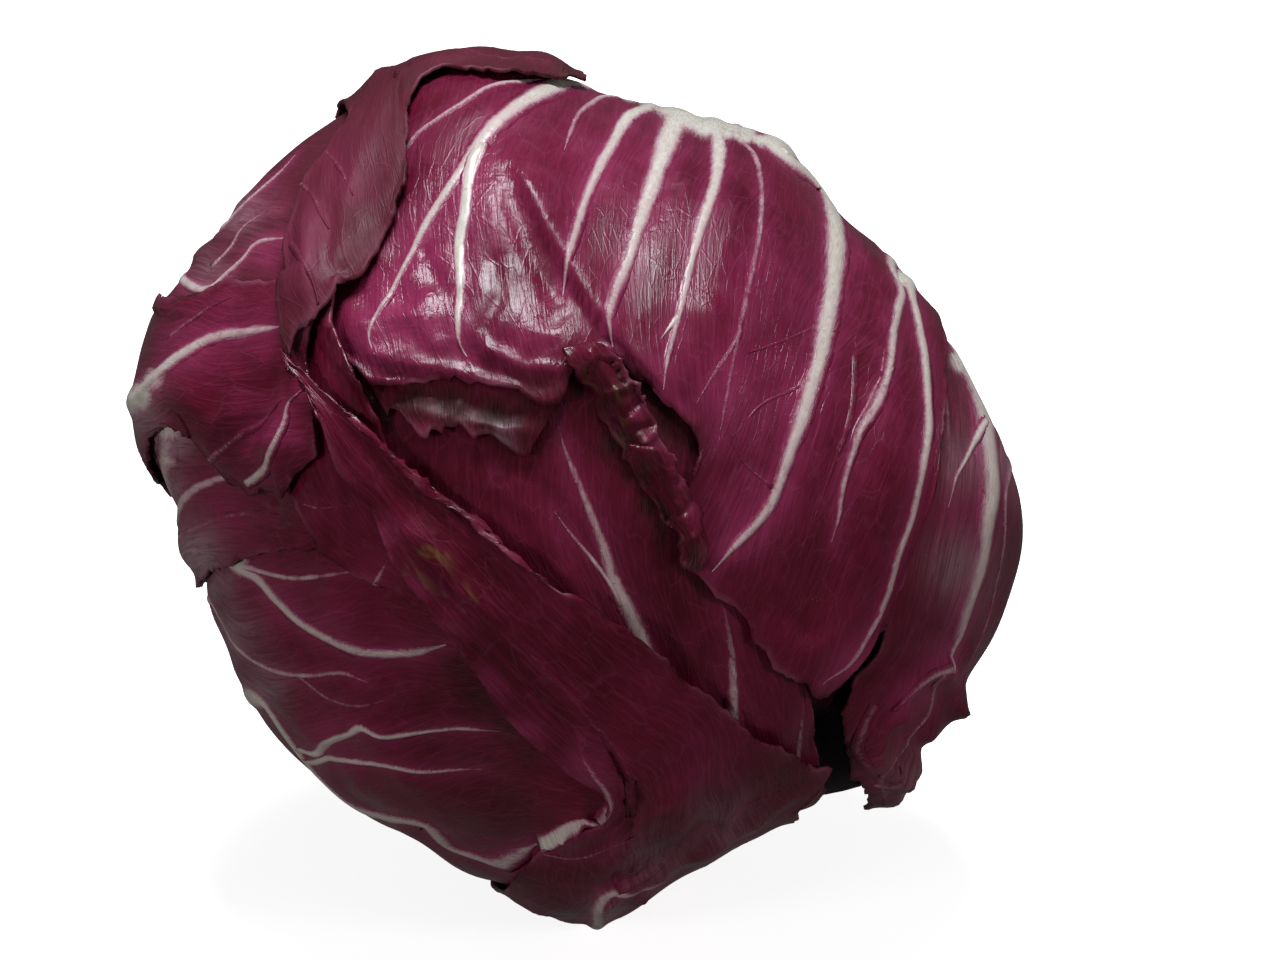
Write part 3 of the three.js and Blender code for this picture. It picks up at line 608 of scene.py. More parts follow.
CENTRE_LEAF = {
    "level": 2, "seed": 3, "grain": 1.1, "wave": 0.3,
    "rails": [
        [(-20, -44), (-31, -22), (-36, -5), (-35, 8), (-32, 24)],
        [(-8, -46), (-17, -24), (-22, -8), (-23, 6), (-22, 24)],
        [(-2, -48), (-10, -24), (-14, -8), (-14, 6), (-13, 24)],
        [(12, -48), (7.4, -17.5), (2.2, -4.1), (-2.4, 8), (-5, 24)],
        [(20, -48), (14, -17), (8, -3), (3, 8), (0, 24)],
        [(28, -47), (20, -18), (15, -3), (10, 8), (8, 24)],
        [(35.6, -44), (34.4, -32), (29.6, -15), (24, 4), (19, 24)],
    ],
    "ribs": [
        (1.9, 0.5, 0.62, [(13, -33), (10.3, -23.9), (7.4, -17.5), (5.3, -13.2), (4.1, -8.9), (2.2, -4.1),
         (0.3, 0.7), (-1.6, 5.4), (-2.6, 9)]),
        (0.6, 0.4, 0.55, [(6.5, -17), (5, -14.1), (2, -10), (-0.6, -7), (-3.5, -3.1)]),
        (1.3, 0.8, 0.55, [(23.4, -40), (23.2, -35), (22.8, -28.5), (22.3, -22.3), (21.3, -17)]),
        (0.9, 0.5, 0.4, [(32.4, -42), (32.6, -39.7), (33, -35.7), (33.2, -30)]),
    ],
    "folds": [(1.5, -0.7, [(14, -8), (18, -20), (21, -32)]), (1.5, 0.5, [(-8, 0), (-2, -12), (6, -26)])],
    "crumples": [(-14, -6, 9, 0.35, 30), (22, -28, 9, 0.3, 26)],
    "margins": [("right", 0.5, 3, 0.5)],
    # Wilt here: painted shade in the hollow beside the curl and along the crevice under its edge.
    "wilt_and_shade": [(13, 10, 4, 0.7), (5.4, 6.8, 2, 0.95), (8.2, 2.2, 2, 0.95), (10.6, -2.2, 2, 0.95),
        (13, -6, 1.8, 0.9), (15.4, -10.4, 1.8, 0.9), (18, -14.4, 1.6, 0.8)],
}

TORN_LIP = {
    "level": 3.2, "seed": 4, "grain": 0.55, "easing": 30, "wave": 0.4, "lip": 0.7,
    "rails": [
        [(-31, 22), (-30, 16), (-28.5, 12.4), (-27, 10.6)],
        [(-26, 22), (-26, 16), (-25.6, 12), (-25, 10.4)],
        [(-22, 22), (-22.4, 15), (-22.6, 11), (-22.6, 8.6)],
        [(-18, 22), (-19, 15), (-19.6, 11), (-19.8, 9)],
        [(-14, 22), (-15.4, 14), (-15.8, 10), (-15.8, 7.4)],
        [(-9, 21), (-11, 13), (-11.8, 8.6), (-12, 5.6)],
        [(-4, 20), (-6.4, 13), (-7.4, 8.4), (-7.8, 5.2)],
        [(1, 18), (-1.6, 13.6), (-3.4, 10.6), (-4.4, 8.4)],
    ],
    "folds": [
        (0.9, 0.5, [(-26, 11.6), (-21, 10.6), (-15.6, 9.6), (-11, 8), (-6, 8)]),
        (0.8, -0.5, [(-25, 14.4), (-17, 13), (-8, 11)]),
    ],
    "crumples": [(-16, 9, 9, 0.6, 44)],
    "margins": [("tip", 1.5, 3.4, 1.1), ("left", 0.5, 2.5, 0.5)],
    "pale": [(-11.4, 6.4, 2.4, 0.4)],
    # Wilt on the lip: drying brown, and painted shade where the crown's margin shades it.
    "wilt_and_shade": [(-24, 13, 3.4, 0.8), (-18, 11.6, 3.4, 0.85), (-12, 10.4, 3, 0.9), (-6, 9.6, 3.4, 1.0),
        (-26.5, 11, 2, 0.7)],
}

CURL_TOP = {
    "level": 5.5, "seed": 5, "grain": 0.42, "easing": 60, "wave": 0.25, "lip": 0.2,
    "rails": [
        [(-1, 19.6), (0.6, 15.6), (2.4, 11.6), (5, 7.4), (8, 3.2)],
        [(1.4, 20), (3.6, 16.2), (6, 12), (8.6, 7.6), (10.8, 3)],
        [(4, 20), (7.6, 16), (10.4, 11.6), (12.6, 7), (13.9, 3)],
    ],
    "folds": [
        (1.7, 2.3, [(2, 19), (4.6, 15), (7.4, 11), (9.8, 6.6), (11.4, 3.4)]),
        (0.7, -1.3, [(1.6, 14), (4, 12), (7, 8), (9, 4.6)]),
        (0.5, -1.5, [(5.6, 9.6), (8, 11), (10, 14)]),
        (0.6, 1.2, [(9, 5.4), (11, 7.4), (12.6, 9)]),
        (0.5, 1.4, [(2.4, 13.6), (5, 13), (8, 14.6)]),
        (0.5, -1.2, [(5, 9), (8, 8), (11, 9)]),
    ],
    "crumples": [(6, 10, 7, 0.7, 30)],
    "margins": [("left", 0.9, 3.4, 0.8), ("right", 0.5, 3, 0.5), ("tip", 0.8, 2.6, 0.5)],
    "glow": [(9, 11.4, 1.4, 0.4), (11.4, 6.4, 1.4, 0.4)],
    "wilt_and_shade": [(2.6, 12.4, 3.8, 1.0), (6.4, 6, 3.4, 1.0), (0.6, 17, 3, 0.9), (9.6, 3.4, 3, 0.9),
        (6.4, 14, 2.4, 0.7)],
    "olive": [(4.6, 13.4, 2.2, 0.9), (7.6, 8.8, 1.8, 0.8), (3, 17, 1.6, 0.6)],
}

CURL_LOW = {
    "level": 5.5, "seed": 6, "grain": 0.42, "easing": 60, "wave": 0.25, "lip": 0.2,
    "rails": [
        [(7, 5.8), (9.2, 1.4), (11.8, -3.4), (14.4, -8), (16, -12)],
        [(10.4, 5.6), (12.6, 1.2), (14.6, -3.4), (16.6, -8), (17.2, -12.6)],
        [(13.8, 4.8), (16, 0.6), (17.8, -3.8), (19, -8), (18.6, -12)],
    ],
    "folds": [
        (1.6, 2.0, [(11, 5), (13.6, 0.6), (15.6, -4), (17, -8), (17.3, -11.4)]),
        (0.7, -1.3, [(9.4, 2.4), (12, -1.4), (14.4, -6), (16, -10.4)]),
        (0.5, -0.8, [(13, -5), (15.6, -3.4), (17.4, -1.4)]),
        (0.5, 0.6, [(14.4, -8), (16.4, -7.4), (18, -6)]),
    ],
    "crumples": [(14, -4, 7, 0.3, 34)],
    "margins": [("left", 0.8, 3.2, 0.7), ("right", 0.5, 3, 0.5), ("tip", 0.6, 2, 0.4)],
    "glow": [(15, 0.8, 1.4, 0.35), (17, -4, 1.6, 0.35)],
    "wilt_and_shade": [(9.4, 1.8, 3, 0.9), (12.4, -3.6, 2.8, 0.9), (17, -10.6, 3, 0.8), (15, -1, 2, 0.6)],
    "olive": [(12, 0.6, 1.2, 0.6), (15.4, -7, 1.2, 0.5)],
}

CROWN_LEAF = {
    "level": 4.5, "seed": 7, "behind": 0.46, "grain": 0.95, "wave": 0.3,
    "rails": [
        [110, (-30, 57), (-36, 50), (-39, 40), (-38, 28), (-34, 19.5)],
        [103, (-16, 61), (-27, 50), (-32.5, 38), (-34, 26), (-31, 17)],
        [97, (-6, 61), (-18, 50), (-26, 36), (-29, 24), (-27, 14.6)],
        [88, (1, 61), (-9, 50), (-17, 34), (-18, 22), (-18, 15)],
        [84, (5, 59.5), (-2, 49), (-9, 34), (-11, 22), (-11, 14.3)],
        [80, (9, 58), (4, 48), (-1, 34), (-3, 22), (-3, 12)],
        [76, (12, 56.5), (7, 45), (2.6, 32), (1, 23.5), (0.6, 17)],
        [73, (15, 55.5), (10, 41), (6, 29), (5, 24), (4.8, 19.3)],
        [69, (18, 54.5), (14.5, 41), (10.5, 28), (9, 21), (9, 15.8)],
        [65, (21, 53), (19, 40), (15, 26), (13, 17), (13.7, 11.2)],
        [57, (28, 50), (27, 36), (24, 22), (21, 12), (18, 6)],
        [53, (31, 48.5), (32, 32), (27, 13), (21, 3), (15.6, -3)],
        [50, (34, 46.5), (37, 28), (31.5, 5), (25, -6.5), (15.2, -11.3)],
        [46, (38, 42.5), (40, 24), (35.5, 2), (28.5, -11), (20.2, -15.5)],
        [43, (41, 38), (43.5, 20), (39, 0), (33, -14), (24.5, -19.3)],
        [36, (46, 32.5), (48, 16), (45, -3), (38.5, -18), (31, -28.4)],
        [31, (49.5, 29), (51.8, 12), (49, -5), (44, -18), (38.6, -30.6)],
        [27, (52, 27.5), (54, 11), (51.5, -5), (47.5, -16), (45.4, -21)],
    ],
    "ribs": [
        (1.6, 0.6, 0.85, [95, (-3, 60.9), (-7.8, 60.4), (-12.6, 59.5), (-16.4, 57.1),
         (-20.2, 54.7), (-23.6, 52.3), (-25.5, 49.4), (-27.5, 46)]),
        (3.4, 0.4, 1.0, [90, (1.1, 61.1), (-2.1, 60.2), (-5.9, 58), (-10.2, 55.2), (-13.1, 52.3),
         (-15.8, 48.5), (-19.3, 43.2), (-21.7, 39.4), (-24.1, 34.6), (-26.5, 29.8), (-29.3, 25),
         (-30.3, 21.7), (-29.3, 19.3)]),
        (1.3, 0.7, 1.0, [(-14, 50.6), (-15.2, 48), (-15.9, 45.1), (-16.4, 40.3), (-17.1, 35.6), (-17, 29.3),
         (-17.3, 24.1), (-16.9, 20.7), (-15.9, 19)]),
        (1.6, 0.5, 0.8, [85, (6, 58.9), (3.1, 57.8), (0.7, 55.8), (-0.7, 53.3), (-1.9, 49.5)]),
        (2.6, 0.7, 1.0, [80, (10.8, 57), (7.4, 54.7), (5.3, 50.9), (3.1, 46.6), (1.2, 41.8),
         (-0.2, 37), (-1.4, 32.9), (-2, 28)]),
        (4.6, 0.8, 1.0, [76, (15, 56), (14.4, 54), (13.2, 50.9), (11.3, 45.1), (9.4, 39.4),
         (7.7, 33.6), (5.5, 27.9), (4.8, 24.5), (5.3, 20.4)]),
        (3.0, 0.5, 0.95, [70, (20.5, 53.5), (20.9, 50.9), (20.4, 45.1), (18.4, 38.9), (16.8, 33.2),
         (15.6, 27.9), (14.4, 23.1), (13.2, 18.3), (12.5, 14)]),
        (0.6, 0.4, 0.8, [(14.8, 25), (13.6, 23.4), (12.2, 21.4)]),
        (1.4, 0.4, 0.6, [66, (24, 52), (26.2, 49.4), (27.2, 45.1), (27.1, 39.4), (26.3, 34.1),
         (24.9, 27.9), (23.7, 22.2), (22.3, 15), (20.8, 6.8)]),
        (0.6, 0.4, 0.4, [(23.9, 23), (23.4, 21.7), (20.4, 16.9), (17.5, 12.2)]),
        (0.5, 0.3, 0.22, [(35.8, 24), (33, 22.6), (28, 20.6), (25, 19.6)]),
        (0.5, 0.3, 0.22, [(34.5, 15.5), (31, 14), (27, 12), (24.5, 9.5)]),
        (5.2, 0.8, 1.0, [58, (30, 49.4), (33.8, 47), (36.6, 43.7), (38.1, 39.4), (38.1, 34.6),
         (37.6, 29.3), (36.6, 24.1), (35.7, 19.3), (34.2, 14.5), (32.6, 9.2), (30.9, 4.4), (29.7, 0.6),
         (28.5, -2.2), (25.6, -6), (22.3, -9.4), (19.8, -12.3)]),
        (2.6, 0.6, 0.85, [36, (46.8, 32.4), (48.1, 29.3), (47.6, 26.9), (46.7, 23.1), (46.2, 19.3),
         (45.2, 15), (43.3, 11.1), (41.4, 8.3), (40.2, 4.4), (39, 0), (38.3, -4.6), (37.3, -8)]),
        (2.8, 0.6, 0.9, [31, (49.4, 29.6), (50.3, 25.5), (51.2, 19.8), (51.7, 13.5), (51.7, 8.8),
         (51, 4), (50.3, 0), (49.1, -5), (47.2, -9.8), (45.5, -16.1), (42.8, -21.8), (39.5, -26.6),
         (36.1, -29)]),
        (0.5, 0.3, 0.2, [(28.6, 0), (25, 3), (22.5, 6.5)]),
        (0.5, 0.3, 0.2, [(41, 20), (40.4, 12), (38, 4), (35, -4)]),
    ],
    "steps": [
        (0.3, 2.3, [(-7.4, 42), (-5.4, 38), (-3, 33.6), (-0.6, 29.4), (2.2, 25.2), (5, 21.6), (8.2, 18.2),
         (10.6, 15.4)]),
    ],
    "folds": [
        (1.2, -0.9, [(-10, 42), (-8, 37), (-5, 31), (-2, 26)]),
        (0.8, 1.1, [(-29.3, 19.3), (-24.5, 17.4), (-19.8, 17.2), (-15, 15.7), (-8, 14.6)]),
        (0.7, -0.9, [(-27, 16.6), (-20, 15.8), (-12, 15.2)]),
        (0.8, 1.1, [(-13, 20), (-8, 17.4), (-3, 17), (0.8, 17.8)]),
        (0.7, -0.9, [(-15, 18.4), (-9, 15.6), (-4, 14.6)]),
        (0.8, -0.6, [(-22, 34), (-19.5, 28), (-20, 22)]),
        (0.8, -0.6, [(-12, 33), (-11, 28), (-13, 23)]),
        (0.9, 1.5, [(4.6, 20.4), (8.6, 17.6), (11, 14.4), (14, 11.6), (16.8, 9)]),
        (1.2, 1.0, [(33, -30), (38, -30.5), (41.5, -27), (45, -22.5)]),
        (1.5, -1.0, [(22, -14), (28, -17), (33, -21)]),
    ],
    "bumps": [(38, -24, 7, 1.6), (20, -12, 5, 1.4), (28, 33, 8, 0.7), (-12, 41, 7, 0.6), (-24, 24, 6, 0.8)],
    "crumples": [(-23, 25, 11, 0.45, 44), (-10, 18, 9, 0.5, 52), (40, -24, 9, 0.45, 26)],
    "margins": [("tip", 0.9, 2.6, 0.6)],
    "white": [(2, 61.6, 2, 1.0), (5, 60.2, 1.6, 1.0), (8, 59, 1.6, 1.0), (11, 58, 1.8, 1.0),
        (13.6, 57, 2.2, 1.0), (16.4, 55.8, 2.8, 1.0), (19.2, 54.6, 2.8, 1.0), (22, 53.6, 2, 1.0),
        (25, 52.8, 1.8, 1.0), (27.6, 51.6, 1.2, 1.0), (31.6, 50, 1.6, 1.0), (34.4, 47.4, 1.4, 1.0),
        (48.6, 31.2, 1.6, 1.0)],
    # Glow on the crown: its magenta, with painted highlight on the crinkled left side, the turned-back tear
    # margin and the lowest lobe's ridge.
    "glow": [(-25, 26, 9, 0.9), (-21, 34, 8, 0.7), (-8, 22, 7, 0.5), (12, 40, 5, 0.35), (28, 30, 7, 0.45),
        (-12, 42, 8, 0.6), (24, 14, 9, 0.5), (25, -4, 6, 0.4), (41.5, -26, 4, 0.9), (4, 46, 6, 0.35),
        (10, 17, 2.4, 0.5), (15, 11.4, 2.4, 0.5)],
    # Wilt spots at the torn tip and over the hollow under the tear margin: painted shade.
    "wilt_and_shade": [(-1, 13, 3.5, 0.9), (-7, 14.5, 3, 0.6), (8.6, 15.4, 2, 0.7), (16, 7, 2.4, 0.7),
        (40, -31, 2, 0.4), (34, -31, 2, 0.3), (15, -10, 2.5, 0.5)],
}

RIGHT_LEAF = {
    "level": 3, "seed": 11, "behind": 0.42, "grain": 1.0, "wave": 0.4,
    "rails": [
        [36, (43, 33), (44.6, 12), (44.4, -8), (44.8, -25), (40.9, -35.6)],
        [26, (50, 29), (50.6, 10), (49.2, -10), (47.8, -27), (41.2, -39)],
        [22, (54, 24), (55.5, 8), (53.4, -10), (50.4, -27), (41.6, -43)],
        [12, (59.5, 14.5), (61, 2), (58.7, -15), (53.9, -31), (42.8, -47.8)],
        [6, (62.5, 9), (64, -2), (61.6, -17), (56.4, -31.5), (44.5, -49.4)],
        [0, (65, 3), (65.6, -7), (63.6, -19), (57.5, -32.5), (45.5, -49.5)],
        [-8, back(-10, 101), back(-18, 98), back(-28, 97), back(-37, 96), back(-44, 95)],
    ],
    "ribs": [
        (7.4, 2.2, 1.0, [16, (57.3, 19.6), (59.3, 13.4), (60.7, 6.2), (61.2, -1), (60.6, -5),
         (60, -10.4), (57.9, -17.6), (55.8, -23.4), (54.6, -27)]),
        (0.8, 0.5, 0.8, [(60.2, 10), (59.6, 8.8), (57.7, 4.4), (55.8, 1.1), (54.8, -3)]),
        (1.6, 0.4, 0.4, [24, (54.4, 18), (54.8, 8), (53.6, -6), (50.8, -20)]),
        (0.9, 0.5, 0.5, [(54.9, -26.6), (51.6, -28), (48.4, -30.2), (46.9, -33.3)]),
        (0.8, 0.4, 0.4, [(54.6, -28), (52, -34), (48.6, -39), (46, -42.6), (44.8, -46.4)]),
        (0.8, 0.4, 0.35, [(46.4, -34), (44, -37.4), (43.2, -40.6), (44.6, -43.4)]),
        (0.7, 0.3, 0.35, [(43.4, -43.4), (46.4, -44.2), (49.4, -42.8)]),
        (1.8, 0.5, 0.6, [6, (63.6, -1), (63.2, -10), (60.6, -21), (57, -31)]),
    ],
    "folds": [
        (1.3, 1.7, [(54.6, -26.6), (51.5, -28), (48.1, -30.4), (46.9, -33.3)]),
        (1.2, 1.2, [(54.8, -27.5), (56, -30.4), (56, -33)]),
        (1.3, 1.5, [(43.4, -40), (47, -42.5), (51, -41)]),
        (1.2, -1.4, [(50, -33), (49.5, -37), (52, -40)]),
        (0.9, 1.3, [(46.6, -33.4), (43.9, -36.6), (42.6, -40), (43.8, -45)]),
        (0.9, 1.3, [(55.6, -32.6), (51.4, -37), (47.4, -41.4), (45, -46.8)]),
        (0.8, 0.9, [(58.4, -24), (57, -29), (56, -33)]),
    ],
    "bumps": [(45, -48, 6, 2.4), (43, -38, 4, 1.4)],
    "crumples": [(50, -40, 9, 0.8, 30)],
    "margins": [("right", 0.9, 3.0, 0.7), ("tip", 0.8, 2.6, 0.4), ("left", 0.4, 2.6, 0.3)],
    "white": [(57.5, 19, 2.2, 0.9)],
    # Glow here: painted highlight along the lower ridge and fold, painted sheen on the middle.
    "glow": [(54.5, -26, 4, 0.8), (49.5, -31, 3.4, 0.8), (57.6, -18, 4, 0.5), (55, -6, 6, 0.3)],
    # The first two pale spots here are painted sheen on this leaf's middle.
    "pale": [(56.5, -12, 5, 0.45), (57, 4, 5, 0.3), (50, -44, 5, 0.3), (63, 4, 4, 0.4)],
    "wilt_and_shade": [(43, -48, 3, 0.5), (41, -38, 2.5, 0.4)],
}

LOWER_LEAF = {
    "level": 3, "seed": 13, "behind": 0.44, "grain": 1.0, "wave": 0.4,
    "rails": [
        [188, (-61, -4), (-54, -5), (-45, -4), (-36, -3), (-28, -4)],
        [195, (-58.5, -12), (-51, -10), (-42, -12), (-32, -14), (-22, -12)],
        [201, (-54.5, -17.5), (-46, -16.5), (-37.5, -21.8), (-28, -24), (-18, -21)],
        [207, (-51.5, -26), (-42, -25), (-33, -27), (-23, -28), (-12, -26)],
        [213, (-47, -32), (-38, -31), (-28, -32), (-18, -32), (-6, -31)],
        [226, (-39, -42), (-31, -40), (-22, -39), (-12, -38), (2, -38)],
        [240, (-28.5, -50.5), (-22, -50.5), (-15, -49), (-8, -48), (5, -48)],
        [252, (-18, -57.6), (-12, -59), (-5, -59), (2, -58), (8, -55)],
    ],
    "ribs": [
        (2.4, 1.2, 1.0, [192, (-58.5, -8), (-53.5, -9.4), (-49.9, -11.7), (-47, -13.7),
         (-44.6, -16.5), (-41.3, -19.4), (-37.5, -21.8), (-33.2, -23.7), (-28.4, -24.4), (-24.1, -24.2),
         (-19, -23)]),
        (0.8, 0.5, 0.6, [(-50.5, -11.2), (-48.9, -11.7), (-45.1, -12.9), (-41.3, -13.4), (-36.5, -12.9),
         (-31, -12)]),
        (1.4, 0.6, 0.8, [200, (-54.9, -17), (-53.3, -19.9), (-50.9, -23.7), (-47.5, -26.1),
         (-43.7, -27.5), (-39.4, -27.8), (-34.4, -27.3), (-30.5, -28.6)]),
        (3.0, 1.9, 1.0, [213, (-46.6, -32.2), (-43.2, -37), (-40.4, -40.6), (-37.6, -43.6),
         (-34, -46.6), (-29.7, -48.8), (-25.3, -49.6), (-22.4, -50.2), (-18.8, -53.3), (-15.2, -55.2),
         (-12.3, -56), (-9.4, -54.6), (-6, -52.6)]),
        (1.0, 0.6, 0.8, [(-41.5, -39.2), (-40.3, -40.5), (-36.5, -40.2), (-31.7, -40.7), (-26.9, -41.4),
         (-22.2, -41.9), (-14, -41.5)]),
        (1.1, 0.6, 0.85, [(-41.5, -38.9), (-38.9, -39.5), (-37, -37.8), (-33.6, -36.4), (-31.7, -35.4),
         (-29.3, -36.6), (-26.9, -36.6), (-23.1, -35.9), (-18.3, -35.4), (-11, -35.8)]),
        (0.6, 0.4, 0.4, [(-41, -28), (-37, -31), (-32.7, -32.2), (-27, -31)]),
    ],
    "folds": [
        (1.6, -0.8, [(-44, -19), (-38, -24.6), (-31, -27), (-24, -27)]),
        (1.5, 0.8, [(-39, -37), (-33, -34.8), (-29, -35.6), (-20, -34)]),
    ],
    "bumps": [(-55, -16, 7, 2.4), (-17, -58, 7, 4.4)],
    "margins": [("tip", 0.8, 3, 0.6)],
    "white": [(-50, -11.6, 1.6, 0.8)],
    "glow": [(-44, -17, 4, 0.5), (-36, -20, 4, 0.4), (-38, -38, 5, 0.4)],
    "pale": [(-52, -22, 4.5, 0.5), (-47, -30, 4, 0.45), (-55, -14, 4, 0.5)],
    # The first six wilt spots: painted shade along the band's overlapping margin.
    "wilt_and_shade": [(-7, -38.6, 3, 0.6), (-10, -35, 3, 0.75), (-14, -30.6, 3, 0.75), (-17.6, -26, 2.8, 0.7),
        (-21, -21, 2.6, 0.65), (-24.4, -16, 2.4, 0.5), (-9, -47, 4, 0.45)],
}

SIDE_LEAF = {
    "level": 4.5, "seed": 17, "behind": 0.5, "grain": 0.9, "wave": 0.5,
    "rails": [
        [172, (-62, 14), (-55, 12), (-48, 8), (-42, 6), (-38, 5)],
        [176, (-62.5, 5), (-57, 5), (-49, 5), (-42, 3), (-37, 2.4)],
        [179, (-61.4, -3), (-57, -1.5), (-49, 1), (-42, -1), (-36, -1.4)],
        [186, (-60.4, -9.6), (-56.6, -9.4), (-49.5, -6.4), (-42.6, -5.6), (-35.6, -5)],
        [194, (-57.4, -14.6), (-55, -14.4), (-50.4, -11.6), (-43, -9.2), (-35.5, -8.3)],
    ],
    "ribs": [
        (2.2, 0.6, 0.9, [182, (-61.4, -5.4), (-59.5, -3.4), (-57.1, -0.7), (-54.2, 0.7),
         (-49.4, 2.1), (-45, 2)]),
        (3.4, 2.2, 0.9, [back(176, 165), back(176, 135), back(176, 112), (-62.5, -1), (-60.8, 5),
         (-60.2, 11)]),
        (0.8, 0.4, 0.35, [(-60, -8), (-56, -6), (-50, -4), (-44, -4)]),
    ],
    "folds": [(1.3, 0.7, [(-54, -9), (-48, -7), (-41, -6)]), (1.2, -0.6, [(-52, -3), (-45, -2)])],
    "bumps": [(-56, -10, 4, 0.6), (-65, 3, 7, 2.2), (-62, -8, 5, 3.2)],
    "margins": [("right", 0.5, 3.2, 0.3), ("tip", 0.8, 3, 0.4)],
    "white": [(-60.8, 9, 2.4, 0.8), (-61, 4, 1.8, 0.6)],
    "glow": [(-52, -5, 5, 0.5)],
    "pale": [(-57.5, -10.5, 4.2, 0.9), (-60.8, 7, 3.6, 0.8), (-61, 0, 3, 0.5)],
    "pinned": [(-57, -14, 6, 1.0)],
}

LEFT_LEAF = {
    "level": 6, "seed": 19, "behind": 0.5, "grain": 0.9, "wave": 0.2, "cling": 0.8, "lip": 0.1,
    "rails": [
        [157, (-58.8, 29), (-55, 30.6), (-50, 31.6), (-45, 31), (-40, 29)],
        [158, (-62.6, 23), (-58, 25.6), (-50, 27), (-44, 27), (-38, 25)],
        [163, (-65.7, 15), (-58, 20), (-50, 22), (-44, 21), (-39.6, 19)],
        [172, (-65.4, 8), (-58, 14), (-50, 14.5), (-43.5, 14.5), (-38.6, 14)],
        [179, (-62.4, 8), (-56, 8.4), (-49, 6), (-43, 6.5), (-37.4, 8)],
        [185, (-61.6, 2.6), (-60.4, 9.6), (-59, 11), (-54.5, 4), (-48.6, -1.4), (-42.8, 0),
         (-36.6, 3.6)],
    ],
    "ribs": [
        (3.6, 1.0, 1.0, [163, (-66.2, 12.1), (-64.7, 14.5), (-61.4, 17.6), (-58, 20),
         (-53.3, 22.2), (-48.5, 22.9), (-43, 23.7)]),
        (0.8, 0.5, 0.7, [(-48.5, 0.4), (-45.6, 3), (-44.4, 6.4), (-42.7, 9.7), (-42, 12.6), (-39.6, 15)]),
        (0.6, 0.4, 0.35, [(-56, 3.6), (-53.3, 4.8), (-48.5, 8), (-43.2, 12.6)]),
        (0.6, 0.3, 0.35, [(-61, 22), (-56, 25.5), (-51, 28)]),
    ],
    "folds": [
        (1.5, 1.3, [(-48, -0.6), (-44.6, 3), (-43.2, 7.4), (-41.6, 12)]),
        (1.4, -0.9, [(-48, 6), (-46.6, 11), (-44, 16)]),
        (1.3, 0.7, [(-54, 6), (-51, 11), (-50, 16)]),
    ],
    "bumps": [(-42, 4, 5, 1.3), (-58, 16, 7, 0.8)],
    "crumples": [(-47, 9, 9, 0.6, 30)],
    "margins": [("right", 0.9, 3.4, 0.9), ("left", 0.5, 2.8, 0.4)],
    "white": [(-65.4, 13.4, 2.4, 0.9), (-63, 16, 2, 0.6)],
    "glow": [(-58, 22, 5, 0.35), (-45, 8, 4, 0.35)],
    "pale": [(-65, 10, 3.6, 0.6)],
    "pinned": [(-62, 4, 8, 1.0)],
}

STRAP_LEAF = {
    "level": 5.5, "seed": 23, "grain": 0.75, "wave": 0.5,
    "rails": [
        [(12, -46), (10, -40), (2, -33.4), (-13, -22), (-28.8, -14.3), (-32.2, -12.7), (-35.6, -9.4),
         (-37.9, -6), (-39.4, -3.1), (-40.8, 0), (-42.4, 8), (-42.6, 19), (-40, 30)],
        [(15, -44), (14, -39), (7, -31), (-6, -19), (-20, -9), (-28, -5), (-31, -2), (-33.4, 1), (-34.8, 5),
         (-36, 10), (-38, 14), (-37.5, 19), (-36.5, 29)],
        [(21, -42), (19, -37), (13, -28), (0, -18), (-13, -8.8), (-20, -3), (-24.4, 1.2), (-27.6, 6),
         (-29.4, 12), (-30.6, 15.6), (-33, 20.3), (-35.4, 24), (-34.6, 29)],
    ],
    "ribs": [
        (0.9, 0.4, 0.45, [(-29.6, -14.4), (-28.6, -12.6), (-27.4, -10.4)]),
        (0.5, 0.4, 0.3, [(-39.9, -2.4), (-37, -3.1), (-33.4, -2.4)]),
    ],
    "folds": [
        (1.2, 0.8, [(-34, -10), (-34.6, -4), (-35, 3), (-36, 10)]),
        (1.0, 0.6, [(-29.6, 11), (-33.5, 19), (-36.6, 25)]),
    ],
    "margins": [("left", 0.6, 2.8, 0.4), ("right", 0.4, 3, 0.3)],
}

FLAP_UNDER = {
    "level": 6, "seed": 27, "behind": 0.5, "grain": 0.9, "wave": 0.4,
    "rails": [
        [155, (-61, 27), (-55, 27), (-48, 26), (-42, 25)],
        [149, (-57, 34.6), (-50, 34.6), (-45, 33), (-40, 32)],
        [144, (-52.6, 40.4), (-47, 40.4), (-43, 39.6), (-38, 39)],
        [139, (-47, 46.6), (-42, 46.4), (-39, 45.6), (-35, 45)],
        [133, (-41, 52.4), (-37.6, 52), (-35.6, 51.4), (-33, 51)],
        [126, (-35.6, 57), (-33, 56.4), (-31.6, 55.6), (-30, 55)],
        [119, (-29.4, 61.6), (-28.2, 60.8), (-27.6, 60), (-27, 59)],
    ],
    "ribs": [
        (2.4, 1.0, 0.95, [142, (-52.6, 39.2), (-51.6, 40.3), (-48.5, 43.2), (-44.6, 46.8),
         (-42, 49.4)]),
        (0.9, 0.5, 0.5, [(-55, 32.8), (-54.2, 33.2), (-50.9, 35.6), (-48.5, 39.4), (-43.9, 41.3)]),
        (1.6, 0.9, 0.95, [150, (-54.6, 29.4), (-52.3, 31.2), (-49.4, 33.9), (-47.5, 35.8),
         (-43.3, 36.9)]),
        (0.6, 0.3, 0.35, [(-55, 37), (-50, 39.6), (-45, 43.4)]),
    ],
    "folds": [
        (1.3, 0.8, [(-56, 34), (-50, 37.4), (-45, 40)]),
        (1.2, -0.6, [(-52, 35), (-47, 37.6), (-44, 38.6)]),
    ],
    "crumples": [(-48, 38, 9, 0.4, 30)],
    "glow": [(-46, 34, 2.4, 0.6), (-48, 43, 4, 0.3)],
    "pale": [(-50, 41, 4, 0.35), (-55, 32, 3.5, 0.3)],
}

